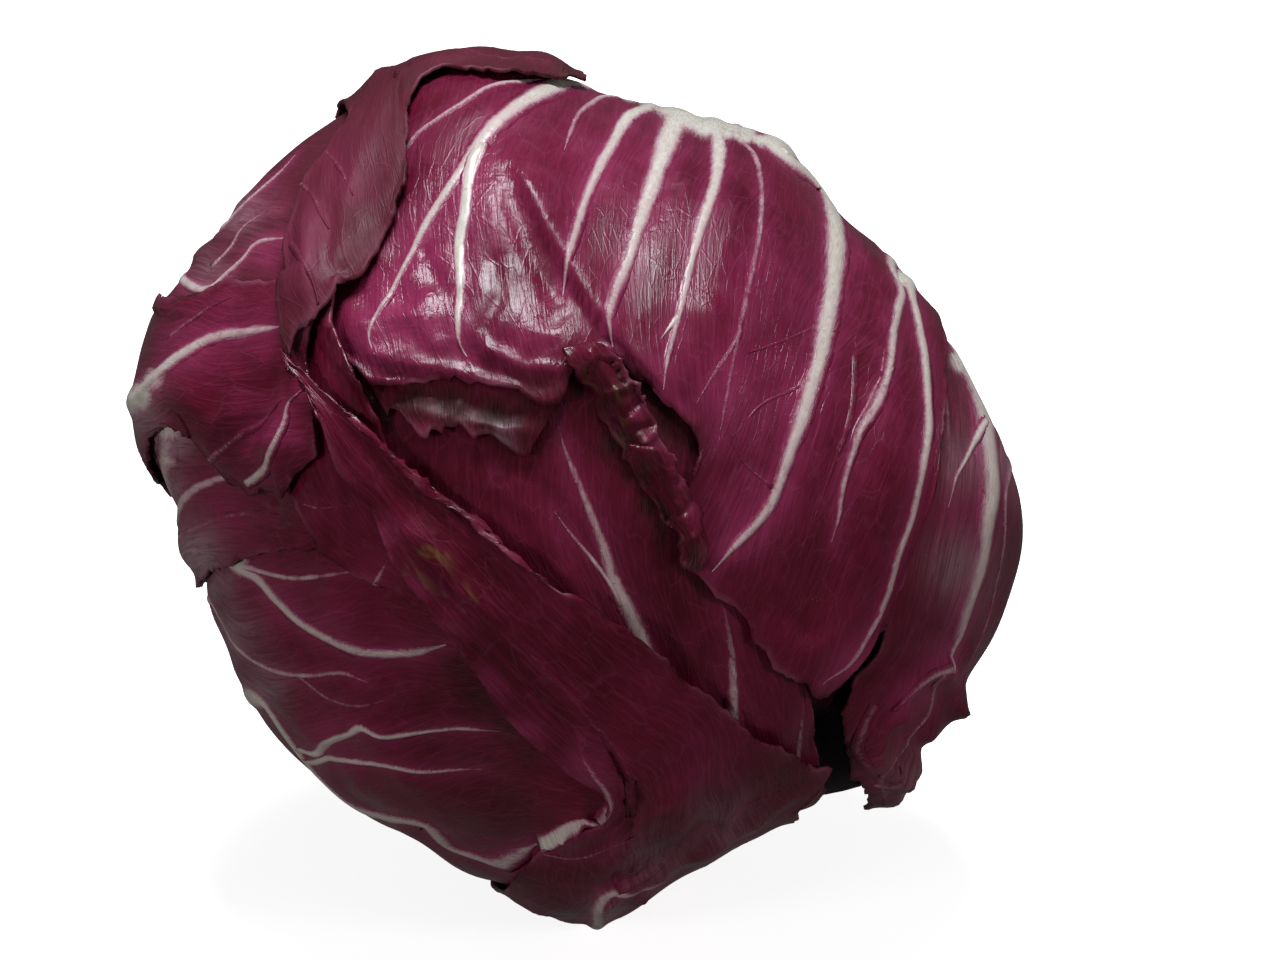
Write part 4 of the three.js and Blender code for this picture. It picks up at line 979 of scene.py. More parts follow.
FLAP_LEAF = {
    "level": 7.5, "seed": 29, "behind": 0.42, "grain": 0.8, "wave": 0.5, "cling": 0.8, "lip": 0.45,
    "rails": [
        [125, (-35.4, 57.4), (-37.8, 54), (-40, 50.6), (-42, 46.4), (-43.9, 41.3), (-44.7, 36.5),
         (-43.9, 31.7), (-43.7, 26.9), (-43.2, 22.2), (-42.1, 19.2)],
        [123.5, (-34, 58.8), (-36, 55.2), (-38.2, 50.8), (-39.8, 46), (-41.4, 41), (-41.8, 36),
         (-41.4, 31.4), (-41.2, 28), (-40.8, 24.6), (-39.8, 22.8)],
        [122, (-32.4, 59.8), (-34.2, 55.8), (-36, 51.2), (-37.2, 46.4), (-38, 42), (-38.2, 37.6),
         (-38, 34), (-37.6, 31), (-36.9, 28.4), (-35.9, 26.4)],
        [120.5, (-31, 60.6), (-32.4, 56.6), (-33.8, 52), (-34.4, 48), (-34.6, 44), (-34.6, 40.6),
         (-34.4, 37.6), (-34, 35), (-33.5, 33), (-33, 31.2)],
        [119, (-29.6, 61.2), (-30.6, 57.6), (-31.4, 53.4), (-31.6, 50), (-31.6, 47), (-31.2, 44.4),
         (-31, 42), (-30.9, 40), (-30.7, 38.4), (-30.4, 37.4)],
        [117.5, (-28.2, 61.8), (-28.8, 58.4), (-29.2, 55), (-28.9, 52.4), (-28.6, 50.4),
         (-28.2, 49), (-27.8, 47.8), (-27.5, 46.8), (-27.1, 45.6), (-26.9, 44.7)],
        [116, (-27, 62.2), (-27.2, 60), (-27.3, 58), (-27.2, 56.6), (-27, 55.6), (-26.8, 54.9),
         (-26.6, 54.4), (-26.4, 53.9), (-26.2, 53.4), (-26.1, 53.1)],
        [114, (-25.6, 62.6), (-25.6, 62.2), (-25.6, 61.8), (-25.6, 61.5), (-25.6, 61.2),
         (-25.5, 61), (-25.5, 60.8), (-25.5, 60.6), (-25.4, 60.4), (-25.4, 60.1)],
        [111, (-21.5, 64.2), (-21.3, 64.1), (-21.2, 64), (-21.1, 64), (-21, 63.9), (-20.9, 63.9),
         (-20.8, 63.8), (-20.7, 63.8), (-20.6, 63.7), (-20.6, 63.6)],
        [107, (-15, 65), (-14.5, 64.6), (-14, 64.2), (-13.8, 63.9), (-13.6, 63.6), (-13.4, 63.4),
         (-13.2, 63.2), (-13.1, 63), (-13, 62.8), (-12.9, 62.7)],
        [101, (-8, 65), (-7.4, 64.4), (-6.9, 63.8), (-6.5, 63.2), (-6.1, 62.8), (-5.8, 62.4),
         (-5.5, 62), (-5.2, 61.6), (-5.1, 61.4), (-5, 61.2)],
        [95, (-1.8, 66.4), (-1.2, 65.6), (-0.7, 64.8), (-0.2, 64), (0.2, 63.2), (0.5, 62.5),
         (0.8, 61.9), (0.9, 61.6), (1, 61.3), (1.2, 60.9)],
    ],
    "ribs": [
        (0.6, 0.3, 0.25, [(-42, 46), (-39, 43), (-36.4, 38)]),
        (0.5, 0.3, 0.25, [(-38, 50.5), (-35, 47), (-33, 43)]),
        (0.5, 0.3, 0.2, [(-42.4, 36), (-39.6, 32), (-37.8, 27)]),
        (0.5, 0.3, 0.3, [110, (-14.6, 64.4), (-10, 64), (-5, 63.4)]),
    ],
    "folds": [
        (1.4, 0.8, [(-40.6, 44), (-39.4, 38), (-38.6, 31), (-39, 25)]),
        (1.2, -0.7, [(-36, 46), (-36.4, 40), (-36.6, 33)]),
        (0.9, 0.6, [(-43.4, 44), (-43.9, 38), (-43.2, 31), (-42.6, 24)]),
        (0.8, 0.7, [(-24, 62.4), (-18, 64), (-10, 63.6), (-2, 62.4)]),
    ],
    "bumps": [(-37, 33, 8, 0.8), (-22, 62, 9, 0.8), (-4, 64.5, 5, 1.6)],
    "crumples": [(-36, 38, 9, 0.35, 30), (-15, 63, 9, 0.4, 26)],
    "margins": [("tip", 1.2, 2.5, 0.7), ("right", 0.8, 2.4, 0.5), ("left", 0.3, 3, 0.3)],
    "glow": [(-40, 36, 6, 0.3), (-33, 47, 6, 0.25)],
    "wilt_and_shade": [(-1, 62.5, 2.6, 0.8), (-25.4, 60, 1.6, 0.5), (-43, 22, 2, 0.5), (-47, 47, 2, 0.5)],
    "pinned": [(-36, 56.6, 7, 1.0)],
}

BAND_LEAF = {
    "level": 7, "seed": 31, "behind": 0.34, "grain": 1.0, "easing": 40, "wave": 0.3,
    "cling": 0.3, "lip": 0.35, "rests": True,
    "rails": [
        [back(255), back(256, 135), back(257, 112), (-13.2, -60), (-12.2, -58.6), (-10.6, -57.2), (-9, -56),
         (-7.4, -54.8), (-5, -53.2), (-0.4, -50.8), (2.8, -49.5), (4.6, -46.7), (3.6, -44.4), (0.3, -43.3),
         (-3, -40.5), (-10.2, -32.8), (-16.9, -24.7), (-22.2, -17.5), (-26.9, -9.8), (-30.3, -2.2),
         (-34.6, 3), (-36.5, 9.2), (-39.6, 15)],
        [back(261), back(263, 135), back(264, 110), (-6.4, -62), (-4.4, -60.4), (-1.4, -58), (2, -55.6),
         (6, -52.6), (8.6, -50), (10, -46.5), (9, -43.6), (5.6, -40.6), (1.4, -36.8), (-5.4, -29.8),
         (-12.4, -21.6), (-18.2, -14.4), (-23.6, -6.8), (-28, 0.2), (-33, 5), (-36.6, 10.6), (-40.2, 16)],
        [back(268), back(270, 135), back(272, 110), (2.8, -66.3), (6, -62), (9.6, -58), (12.8, -54.4),
         (15.6, -51), (17, -47), (16.4, -43), (12.4, -38), (8, -33.4), (0, -26.6), (-7.4, -18.8),
         (-13.6, -12), (-20, -4.4), (-25.6, 2.2), (-32, 7), (-36.6, 12), (-41, 17)],
        [back(281), back(284, 135), back(286, 110), (16, -58.6), (19, -55.6), (22, -52.8), (24.8, -49.8),
         (27, -46.6), (27, -43.4), (24.4, -40), (19.6, -34.8), (14, -29.6), (6, -22.6), (-2, -16.6),
         (-9, -10), (-16, -4), (-22.8, 1.2), (-30, 7.6), (-36.4, 13), (-41.6, 18)],
        [back(295), back(298, 135), back(302, 110), (33, -47.5), (37, -46.4), (40, -44.8), (35, -43),
         (34.3, -41.4), (31.4, -39.4), (27.2, -37.4), (23.7, -34.8), (18, -29.8), (10.6, -23.4),
         (1.3, -16.8), (-5.6, -13.2), (-13.1, -7.5), (-22.6, -0.6), (-30, 7.4), (-36.5, 14.3),
         (-42.1, 19.3)],
    ],
    "ribs": [
        (1.1, 0.8, 0.9, [(-5.6, -53.5), (-0.6, -51.4), (3.4, -49.9)]),
        (0.8, 0.5, 0.5, [(3.4, -49.7), (5, -47), (4.4, -44.8), (2.4, -42.1), (1, -39.7), (0.8, -37.1)]),
        (2.4, 0.9, 0.95, [back(268), back(270, 135), back(271, 110), (3, -65.8), (3.8, -62), (5.5, -60.1),
         (13.2, -58.0)]),
        (0.5, 0.3, 0.35, [(-5, -54.1), (1.2, -54.6), (5.5, -52.9), (9.8, -51)]),
        (0.9, 0.5, 0.22, [(6, -60), (14, -55), (22, -49.6), (30, -45)]),
        (0.7, 0.3, 0.2, [(8, -48), (7, -40), (1, -33), (-9, -22)]),
        (2.0, 0.6, 0.7, [back(282), back(284, 135), back(286, 110), (17, -57.6), (22, -54)]),
    ],
    "folds": [
        (1.5, 2.0, [(0.6, -37), (1, -40), (2.6, -42.4), (4.4, -45.4), (3.4, -49.1), (-1, -51)]),
        (1.6, -1.6, [(5.4, -37), (6.6, -42), (8.4, -46), (7, -50.4)]),
        (1.2, 0.8, [(-5.4, -52.6), (-1, -51), (3.4, -49)]),
        (1.3, 0.8, [(3, -65), (5, -60.2), (12, -56.6)]),
        (0.8, 0.9, [(4, -61.4), (10, -57.6), (18, -54.6), (26, -49.6)]),
        (0.8, -0.8, [(6, -57.8), (13, -54.4), (21, -50.6)]),
        (2.0, 0.6, [(-38, 12), (-30, 1), (-20, -11), (-8, -24), (1, -34)]),
        (1.6, -0.5, [(-30, 5), (-18, -6), (-4, -20), (8, -31)]),
    ],
    "crumples": [(18, -50, 14, 0.5, 22), (6, -44, 6, 0.5, 34), (-24, -8, 8, 0.25, 30)],
    "margins": [("right", 0.7, 2.3, 0.4), ("left", 0.1, 3, 0.15)],
    # Glow along the band's rounded left fold edge: painted highlight.
    "glow": [(1, -42, 4, 0.6), (-7, -36, 2.6, 0.6), (-13, -29, 2.6, 0.5), (-19, -21, 2.6, 0.5),
        (-24, -15, 2.6, 0.5), (-28, -7, 2.6, 0.4), (20, -42, 6, 0.25)],
    "pale": [(4, -63, 3, 0.35), (12, -55, 5, 0.25), (22, -51, 5, 0.25)],
    # The first two wilt spots: painted shade in the dark zone beside the band's fold.
    "wilt_and_shade": [(8, -46, 4, 0.5), (13, -51, 4, 0.4), (31, -43, 3, 0.4)],
    "olive": [(-17, -17, 2.2, 0.9), (-24, -14, 2.6, 0.5), (-21, -10, 2.4, 0.6)],
    "pinned": [(-13, -59, 7, 1.0), (-5, -52.6, 6, 1.0), (2.6, -47, 5, 0.9), (1.6, -50.6, 4, 1.0),
        (37, -46, 5, 0.8)],
}

BACK_LOW_LEAF = {
    "level": 5, "seed": 37, "grain": 1.1, "wave": 0.7,
    "rails": [
        [back(293), back(297, 142), back(301, 128), back(303, 116)],
        [back(308), back(309, 140), back(312, 122), back(314, 107)],
        [back(322), back(323, 140), back(324, 120), back(326, 103)],
        [back(337), back(338, 140), back(338, 120), back(338, 104)],
        [back(352), back(353, 140), back(352, 124), back(351, 110)],
    ],
    "ribs": fan([304, 314, 323, 332, 342], (160, 142, 126, 112), 2.2),
    "margins": [("tip", 1.2, 3, 1.4), ("left", 0.7, 3, 0.7), ("right", 0.7, 3, 0.7)],
}

BACK_TOP_LEAF = {
    "level": 6, "seed": 41, "grain": 1.1, "wave": 0.7,
    "rails": [
        [back(40), back(38, 142), back(37, 128), back(38, 118)],
        [back(56), back(55, 140), back(54, 124), back(54, 112)],
        [back(72), back(72, 140), back(71, 124), back(71, 110)],
        [back(88), back(88, 140), back(88, 124), back(88, 111)],
        [back(104), back(106, 142), back(106, 128), back(105, 116)],
    ],
    "ribs": fan([50, 61, 72, 82, 94], (160, 144, 130, 118), 2.2),
    "margins": [("tip", 1.2, 3, 1.4), ("left", 0.7, 3, 0.7), ("right", 0.7, 3, 0.7)],
}

# Laid in this order, so each blade lies over those before it: (blade, leaf).
BLADES = [
    (CENTRE_LEAF, "leaf_centre"), (TORN_LIP, "leaf_centre"), (RIGHT_LEAF, "leaf_right"),
    (LOWER_LEAF, "leaf_lower"), (CROWN_LEAF, "leaf_crown"), (CURL_TOP, "leaf_curl"),
    (CURL_LOW, "leaf_curl"), (SIDE_LEAF, "leaf_side"), (FLAP_UNDER, "leaf_flap"),
    (STRAP_LEAF, "leaf_strap"), (LEFT_LEAF, "leaf_left"), (FLAP_LEAF, "leaf_flap"),
    (BAND_LEAF, "leaf_band"), (BACK_LOW_LEAF, "leaf_back_low"), (BACK_TOP_LEAF, "leaf_back_top"),
]
DRYING = ("leaf_flap",)


# ---- heart and butt ----------------------------------------------------------

LAPS = 3               # edges of inner leaves round the heart
LAP_RISE = 0.9         # height of such an edge, mm
HEART_SINK = 0.5       # room left under the first blade, mm
HEART_WAVE = 0.25      # unevenness of the heart, mm


def make_heart(material):
    """The tightly wrapped inner leaves: one body with the edges of its leaves in relief."""
    bm = new_bmesh()
    bmesh.ops.create_icosphere(bm, subdivisions=6, radius=1)
    dirs = unit(np.array([vert.co for vert in bm.verts]))
    turn = np.arctan2(dirs @ UP, dirs @ ACROSS)
    dip = np.arccos(np.clip(dirs @ CROWN, -1, 1))
    spiral = np.mod(turn / (2 * math.pi) * LAPS + dip * 1.2 + 0.06 * wander(dirs, 8, 2), 1)
    r = heart_radius(dirs) - HEART_SINK - LAP_RISE * ease(0, 1, spiral)
    r += HEART_WAVE * wander(dirs, 12, 1)
    base = ease(145, 158, np.degrees(dip))
    streaks = 0.75 + 0.25 * np.sin(turn * 23)
    lane = bm.verts.layers.float_vector["lane"]
    halo, pale, rib = (bm.verts.layers.float[name] for name in ("halo", "pale", "rib"))
    for n, vert in enumerate(bm.verts):
        vert.co = Vector((dirs[n] * r[n] + CENTRE) * MM)
        vert[lane] = (turn[n] * 40, dip[n] * 60, 0)
        vert[halo] = 0.4 * spiral[n]
        vert[pale] = base[n]
        vert[rib] = base[n] * streaks[n]
    return finish_mesh(bm, "fine_heart", material)


# Section of the butt, mm: (radius, depth beyond the heart's back).
BUTT_PROFILE = [
    (0.0, 9.4), (2.2, 9.5), (5.0, 9.8), (7.6, 9.9), (9.6, 9.9), (10.7, 9.6), (11.2, 9.0),
    (11.6, 7.6), (12.3, 5.8), (12.9, 4.2), (13.2, 3.0), (12.9, 2.0), (11.8, 1.2), (0.0, 1.2),
]


def make_butt(material):
    """The cut butt: a short trunk with a flat cut face, in the ring of leaf bases."""
    bm = new_bmesh()
    depths = [(r, BUTT_DEPTH + h) for r, h in BUTT_PROFILE]
    line = [bm.verts.new(Vector((ACROSS * r - CROWN * d) * MM)) for r, d in depths]
    edges = [bm.edges.new(pair) for pair in zip(line[:-1], line[1:])]
    bmesh.ops.spin(bm, geom=line + edges, cent=(0, 0, 0), axis=Vector(-CROWN),
                   angle=2 * math.pi, steps=72, use_merge=True)
    bmesh.ops.remove_doubles(bm, verts=bm.verts, dist=0.00002)
    bmesh.ops.recalc_face_normals(bm, faces=bm.faces)
    lane = bm.verts.layers.float_vector["lane"]
    for vert in bm.verts:
        at = np.array(vert.co) / MM
        depth = -(at @ CROWN)
        out = at + CROWN * depth
        radius = np.linalg.norm(out)
        side = out / max(radius, 1e-6)
        turn = math.atan2(at @ UP, at @ ACROSS)
        swell = 1 + 0.05 * math.sin(3 * turn + 1) + 0.03 * math.sin(7 * turn)
        vert.co = Vector((side * radius * swell - CROWN * depth + CENTRE) * MM)
        vert[lane] = (radius, depth - BUTT_DEPTH, turn)
    return finish_mesh(bm, "fine_butt", material)


# ---- materials ---------------------------------------------------------------

class Nodes:
    """Short calls for building a material's nodes."""

    def __init__(self, name):
        self.material = bpy.data.materials.new(name)
        self.material.use_nodes = True
        self.tree = self.material.node_tree
        self.shader = self.tree.nodes["Principled BSDF"]

    def add(self, kind, inputs=(), **settings):
        node = self.tree.nodes.new(kind)
        for key, value in settings.items():
            setattr(node, key, value)
        for key, value in dict(inputs).items():
            self.feed(node.inputs[key], value)
        return node

    def feed(self, socket, value):
        if isinstance(value, bpy.types.NodeSocket):
            self.tree.links.new(value, socket)
        else:
            socket.default_value = value

    def value(self, name):
        return self.add("ShaderNodeAttribute", attribute_name=name).outputs["Fac"]

    def vector(self, name):
        return self.add("ShaderNodeAttribute", attribute_name=name).outputs["Vector"]

    def math(self, operation, a, b=0.0, c=0.0, clamp=False):
        return self.add("ShaderNodeMath", {0: a, 1: b, 2: c}, operation=operation,
                        use_clamp=clamp).outputs[0]

    def times(self, a, b, clamp=False):
        return self.math("MULTIPLY", a, b, clamp=clamp)

    def scaled(self, vector, scale):
        return self.add("ShaderNodeMapping", {"Vector": vector, "Scale": scale}).outputs[0]

    def noise(self, vector, scale, detail=3.0, rough=0.5, warp=0.0):
        return self.add("ShaderNodeTexNoise", {
            "Vector": vector, "Scale": scale, "Detail": detail, "Roughness": rough,
            "Distortion": warp}).outputs["Fac"]

    def span(self, value, low, high, to_low=0.0, to_high=1.0):
        return self.add("ShaderNodeMapRange", {
            "Value": value, "From Min": low, "From Max": high, "To Min": to_low,
            "To Max": to_high}, interpolation_type="SMOOTHSTEP").outputs[0]

    def mix(self, factor, a, b):
        node = self.add("ShaderNodeMix", data_type="RGBA")
        self.feed(node.inputs[0], factor)
        self.feed(node.inputs[6], a)
        self.feed(node.inputs[7], b)
        return node.outputs[2]

    def bump(self, height, distance, strength):
        return self.add("ShaderNodeBump", {
            "Height": height, "Distance": distance, "Strength": strength}).outputs[0]


def colour(r, g, b):
    return (r, g, b, 1.0)


# Tints of a blade besides the colours in its settings.
BRIGHT_RED = colour(0.22, 0.013, 0.055)
FIBRE_RED = colour(0.28, 0.022, 0.085)
# Dark red of the fine streaks: streak colour and painted shade in the fine creases.
STREAK_AND_CREASE_SHADE = colour(0.035, 0.0018, 0.008)
VEIN_PINK = colour(0.22, 0.05, 0.11)
DULL_RED = colour(0.105, 0.026, 0.036)
# Pink of the glow spots: the leaf's own magenta together with painted highlight on ridges and folds.
MAGENTA_AND_HIGHLIGHT = colour(0.42, 0.045, 0.145)
OLIVE = colour(0.20, 0.15, 0.03)
RIM_PINK = colour(0.40, 0.15, 0.22)
RIM_DARK = colour(0.02, 0.002, 0.005)
RIB_CREAM = colour(0.62, 0.56, 0.46)
RIB_PINK = colour(0.66, 0.42, 0.46)
RIB_EDGE = colour(0.46, 0.15, 0.27)
# Colours of the wilt spots: drying brown, and near-black painted shade in hollows, crevices and along
# overlapping margins.
DRY_AND_SHADE_DARK = colour(0.009, 0.003, 0.003)
DRY_AND_SHADE_BROWN = colour(0.08, 0.031, 0.023)
# What a drying blade adds to the roughness, takes off the gloss, and mixes of its colour.
DULL_ROUGH = 0.24
DULL_GLOSS = 0.18
DULL_MIX = 0.45


def leaf_material(name, settings, dull=False):
    """Wine-red blade with pale ribs, lighter beside them, and fine lengthwise fibres."""
    n = Nodes(name)
    place_at = n.add("ShaderNodeTexCoord").outputs["Object"]
    lane = n.vector("lane")
    rib, halo, edge, magenta_and_highlight_mask = n.value("rib"), n.value("halo"), n.value("edge"), n.value("glow")
    pale, wilt_and_shade, olive = n.value("pale"), n.value("wilt_and_shade"), n.value("olive")

    broad = n.noise(place_at, 38.0, 3.0, 0.55)
    patches = n.noise(place_at, 120.0, 4.0, 0.6, 0.4)
    fibres = n.noise(n.scaled(lane, (1.6, 0.10, 1.0)), 1.0, 3.0, 0.6, 0.6)
    fine = n.noise(n.scaled(lane, (4.5, 0.45, 1.0)), 1.0, 2.0, 0.6, 0.3)
    veins = n.add("ShaderNodeTexVoronoi", {
        "Vector": n.add("ShaderNodeVectorMath", {
            0: n.scaled(lane, (0.42, 0.13, 1.0)),
            1: n.scaled(n.add("ShaderNodeTexNoise", {
                "Vector": place_at, "Scale": 160.0, "Detail": 2.0}).outputs["Color"],
                (0.5, 0.5, 0.5))}, operation="ADD").outputs[0],
        "Scale": 1.0}, feature="DISTANCE_TO_EDGE").outputs["Distance"]
    vein = n.span(veins, 0.05, 0.0)

    deep, lit = settings.deep_colour, settings.lit_colour
    red = n.mix(n.span(broad, 0.32, 0.68), (*deep, 1), (*lit, 1))
    red = n.mix(n.span(patches, 0.42, 0.75, 0.0, 0.5), red, BRIGHT_RED)
    red = n.mix(n.span(fibres, 0.45, 0.75, 0.0, 0.4), red, FIBRE_RED)
    # Darker where the fine lengthwise noise is low, where the bump also sinks: streak colour and painted
    # crease shade.
    red = n.mix(n.span(fine, 0.35, 0.6, 0.35, 0.0), red, STREAK_AND_CREASE_SHADE)
    red = n.mix(n.times(vein, 0.16), red, VEIN_PINK)
    if dull:
        red = n.mix(DULL_MIX, red, DULL_RED)

    glow = n.times(halo, n.span(fibres, 0.2, 0.7, 0.45, 1.0))
    red = n.mix(n.times(glow, 0.72, clamp=True), red, (*settings.halo_colour, 1))

    # Glow spots: magenta tint and painted highlight along ridges, fold edges and crinkles.
    magenta_and_highlight = n.times(magenta_and_highlight_mask, n.span(fibres, 0.25, 0.65, 0.5, 1.0))
    red = n.mix(n.times(magenta_and_highlight, 0.75), red, MAGENTA_AND_HIGHLIGHT)

    # Pale mask: greyish pink of the leaf bases, and painted sheen on the right leaf.
    pale_and_sheen = n.times(pale, n.span(fibres, 0.3, 0.62, 0.35, 1.0))
    red = n.mix(n.times(pale_and_sheen, 0.85, clamp=True), red, (*settings.pale_colour, 1))
    spots = n.noise(n.scaled(lane, (0.45, 0.16, 1.0)), 1.0, 2.0, 0.6, 0.4)
    red = n.mix(n.times(olive, n.span(spots, 0.5, 0.66)), red, OLIVE)
    rimmed = n.times(edge, n.span(patches, 0.44, 0.66, 0.0, 0.34))
    red = n.mix(rimmed, red, RIM_PINK)
    dark = n.times(edge, n.span(patches, 0.52, 0.36, 0.0, 0.7))
    red = n.mix(dark, red, RIM_DARK)

    grit = n.noise(n.scaled(lane, (3.2, 0.35, 1.0)), 1.0, 4.0, 0.65)
    soft_rib = n.math("ADD", rib, n.math("MULTIPLY_ADD", grit, 0.8, -0.4))
    rib_mask = n.span(soft_rib, 0.18, 0.62)
    rib_mask = n.times(rib_mask, n.span(rib, 0.02, 0.14))
    rib_white = n.mix(n.span(fine, 0.3, 0.7), (*settings.rib_colour, 1), RIB_CREAM)
    rib_white = n.mix(n.span(broad, 0.45, 0.75, 0.0, 0.5), rib_white, RIB_PINK)
    tint = n.mix(n.span(rib, 0.9, 0.25, 0.0, 0.75), rib_white, RIB_EDGE)
    red = n.mix(rib_mask, red, tint)

    # Wilt spots: drying brown on torn and curled parts, and painted shade in hollows, crevices and along
    # overlapping margins.
    dry_and_shade = n.times(wilt_and_shade, n.span(patches, 0.34, 0.6, 0.25, 1.0), clamp=True)
    red = n.mix(dry_and_shade, red, n.mix(n.span(fine, 0.3, 0.7), DRY_AND_SHADE_DARK, DRY_AND_SHADE_BROWN))
    n.feed(n.shader.inputs["Base Color"], red)

    gloss = n.span(patches, 0.3, 0.7, settings.roughness - 0.1, settings.roughness + 0.12)
    gloss = n.math("ADD", gloss, DULL_ROUGH if dull else 0.0)
    n.feed(n.shader.inputs["Roughness"], n.math("MULTIPLY_ADD", dry_and_shade, 0.34, gloss))
    n.feed(n.shader.inputs["Specular IOR Level"], 0.4 - (DULL_GLOSS if dull else 0.0))

    crinkle = n.noise(place_at, 260.0, 3.0, 0.55, 0.5)
    height = n.math("ADD", n.times(fibres, 0.6), n.times(crinkle, 0.5))
    height = n.math("ADD", height, n.times(vein, 0.16))
    height = n.math("ADD", height, n.times(fine, 0.18))
    pucker = n.times(n.noise(place_at, 620.0, 2.0, 0.5, 0.8), magenta_and_highlight_mask)
    height = n.math("ADD", height, n.times(pucker, 1.1))
    height = n.times(height, n.math("MULTIPLY_ADD", rib_mask, -0.65, 1.0))
    n.feed(n.shader.inputs["Normal"], n.bump(height, 0.00022, 0.8))
    return n.material


def heart_material():
    """The inner leaves seen in the gaps, coloured near black as painted shade."""
    n = Nodes("inner leaves")
    place_at = n.add("ShaderNodeTexCoord").outputs["Object"]
    broad = n.noise(place_at, 60.0, 4.0, 0.6)
    fibres = n.noise(n.scaled(n.vector("lane"), (0.9, 0.12, 1.0)), 1.0, 3.0, 0.6, 0.5)
    # Near-black reds, far darker than the blades' own red: painted shade of the deep gaps.
    red = n.mix(n.span(broad, 0.35, 0.7), colour(0.008, 0.001, 0.003), colour(0.03, 0.003, 0.010))
    n.feed(n.shader.inputs["Base Color"], red)
    n.feed(n.shader.inputs["Roughness"], n.span(broad, 0.3, 0.7, 0.5, 0.65))
    n.feed(n.shader.inputs["Specular IOR Level"], 0.15)
    n.feed(n.shader.inputs["Normal"], n.bump(fibres, 0.0006, 0.7))
    return n.material


def butt_material():
    """Pale cut face, browning in rings and at its rim."""
    n = Nodes("cut butt")
    place_at = n.add("ShaderNodeTexCoord").outputs["Object"]
    lane = n.vector("lane")
    parts = n.add("ShaderNodeSeparateXYZ", {0: lane}).outputs
    blotch = n.noise(place_at, 220.0, 4.0, 0.6)
    ring_at = n.math("MULTIPLY_ADD", blotch, 2.0, n.times(parts[0], 1.9))
    ring = n.math("SINE", ring_at)
    pale = n.mix(n.span(ring, -1.0, 1.0), colour(0.56, 0.45, 0.30), colour(0.70, 0.62, 0.47))
    brown = n.span(n.math("MULTIPLY_ADD", blotch, 4.0, parts[0]), 9.5, 14.5)
    pale = n.mix(brown, pale, colour(0.24, 0.12, 0.06))
    pale = n.mix(n.span(blotch, 0.56, 0.72), pale, colour(0.30, 0.17, 0.09))
    side = n.span(parts[1], 8.6, 6.0)
    pale = n.mix(side, pale, colour(0.62, 0.46, 0.42))
    n.feed(n.shader.inputs["Base Color"], pale)
    n.feed(n.shader.inputs["Roughness"], n.span(blotch, 0.3, 0.7, 0.55, 0.8))
    height = n.math("MULTIPLY_ADD", ring, 0.25, blotch)
    n.feed(n.shader.inputs["Normal"], n.bump(height, 0.0005, 0.7))
    return n.material


def floor_material():
    n = Nodes("white floor")
    n.feed(n.shader.inputs["Base Color"], colour(0.9, 0.9, 0.9))
    n.feed(n.shader.inputs["Roughness"], 0.9)
    n.feed(n.shader.inputs["Specular IOR Level"], 0.0)
    n.feed(n.shader.inputs["Emission Color"], colour(1.0, 1.0, 1.0))
    n.feed(n.shader.inputs["Emission Strength"], 0.85)
    return n.material


# ---- properties, operators and panel -----------------------------------------

def colour_setting(name, about, value):
    return FloatVectorProperty(name=name, description=about, subtype="COLOR", size=3,
                               default=value, min=0, max=1)


def power_setting(name, about, value):
    return FloatProperty(name=name, description=about, default=value, min=0)


class LeafSettings(bpy.types.PropertyGroup):
    """Colours and gloss of the leaves."""

    deep_colour: colour_setting("Deep Colour", "Darkest red of a blade", (0.082, 0.0030, 0.012))
    lit_colour: colour_setting("Light Colour", "Lightest red of a blade", (0.165, 0.0080, 0.031))
    halo_colour: colour_setting("Halo Colour", "Magenta of a blade beside its ribs",
                                (0.34, 0.036, 0.115))
    # Also the colour of the painted sheen spots on the right leaf.
    pale_colour: colour_setting("Pale Colour", "Greyish pink at the leaf bases", (0.50, 0.34, 0.39))
    rib_colour: colour_setting("Rib Colour", "Off-white of the ribs", (0.82, 0.79, 0.70))
    roughness: FloatProperty(
        name="Roughness", description="Mean roughness of a blade", default=0.28, min=0.1, max=1)


class StageSettings(bpy.types.PropertyGroup):
    """Floor, camera and lights."""

    distance: FloatProperty(
        name="Distance", description="From the head's middle to the camera", default=2.0,
        unit="LENGTH", min=0.5, max=10)
    view_width: FloatProperty(
        name="View Width", description="Width of the view at the head", default=0.192,
        unit="LENGTH", min=0.05, max=1)
    aim: FloatVectorProperty(
        name="Aim", description="Aim across and up from the head's middle", size=2,
        unit="LENGTH", default=(0.0093, 0.00105))
    key_power: power_setting("Key Power", "Key light, watts", 9.5)
    fill_power: power_setting("Fill Power", "Fill light, watts", 2.8)
    side_power: power_setting("Side Power", "Side light, watts", 2.5)
    sky: power_setting("Sky", "Strength of the white surroundings", 0.08)


class LeafOperator(bpy.types.Operator):
    """Lay the twelve leaves, from the heart outwards"""

    bl_idname = "mesh.radicchio_leaves"
    bl_label = "Lay Leaves"
    bl_options = {"REGISTER", "UNDO"}

    def execute(self, context):
        settings = context.scene.radicchio_leaf
        plain = leaf_material("radicchio leaf", settings)
        dull = leaf_material("drying leaf", settings, dull=True)
        for name, piece in make_leaves(plain, dull).items():
            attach(piece, "root")
            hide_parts(name)
        return {"FINISHED"}


class HeartOperator(bpy.types.Operator):
    """Make the tightly wrapped heart"""

    bl_idname = "mesh.radicchio_heart"
    bl_label = "Make Heart"
    bl_options = {"REGISTER", "UNDO"}

    def execute(self, context):
        piece = make_heart(heart_material())
        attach(piece, "root")
        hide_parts("heart")
        return {"FINISHED"}


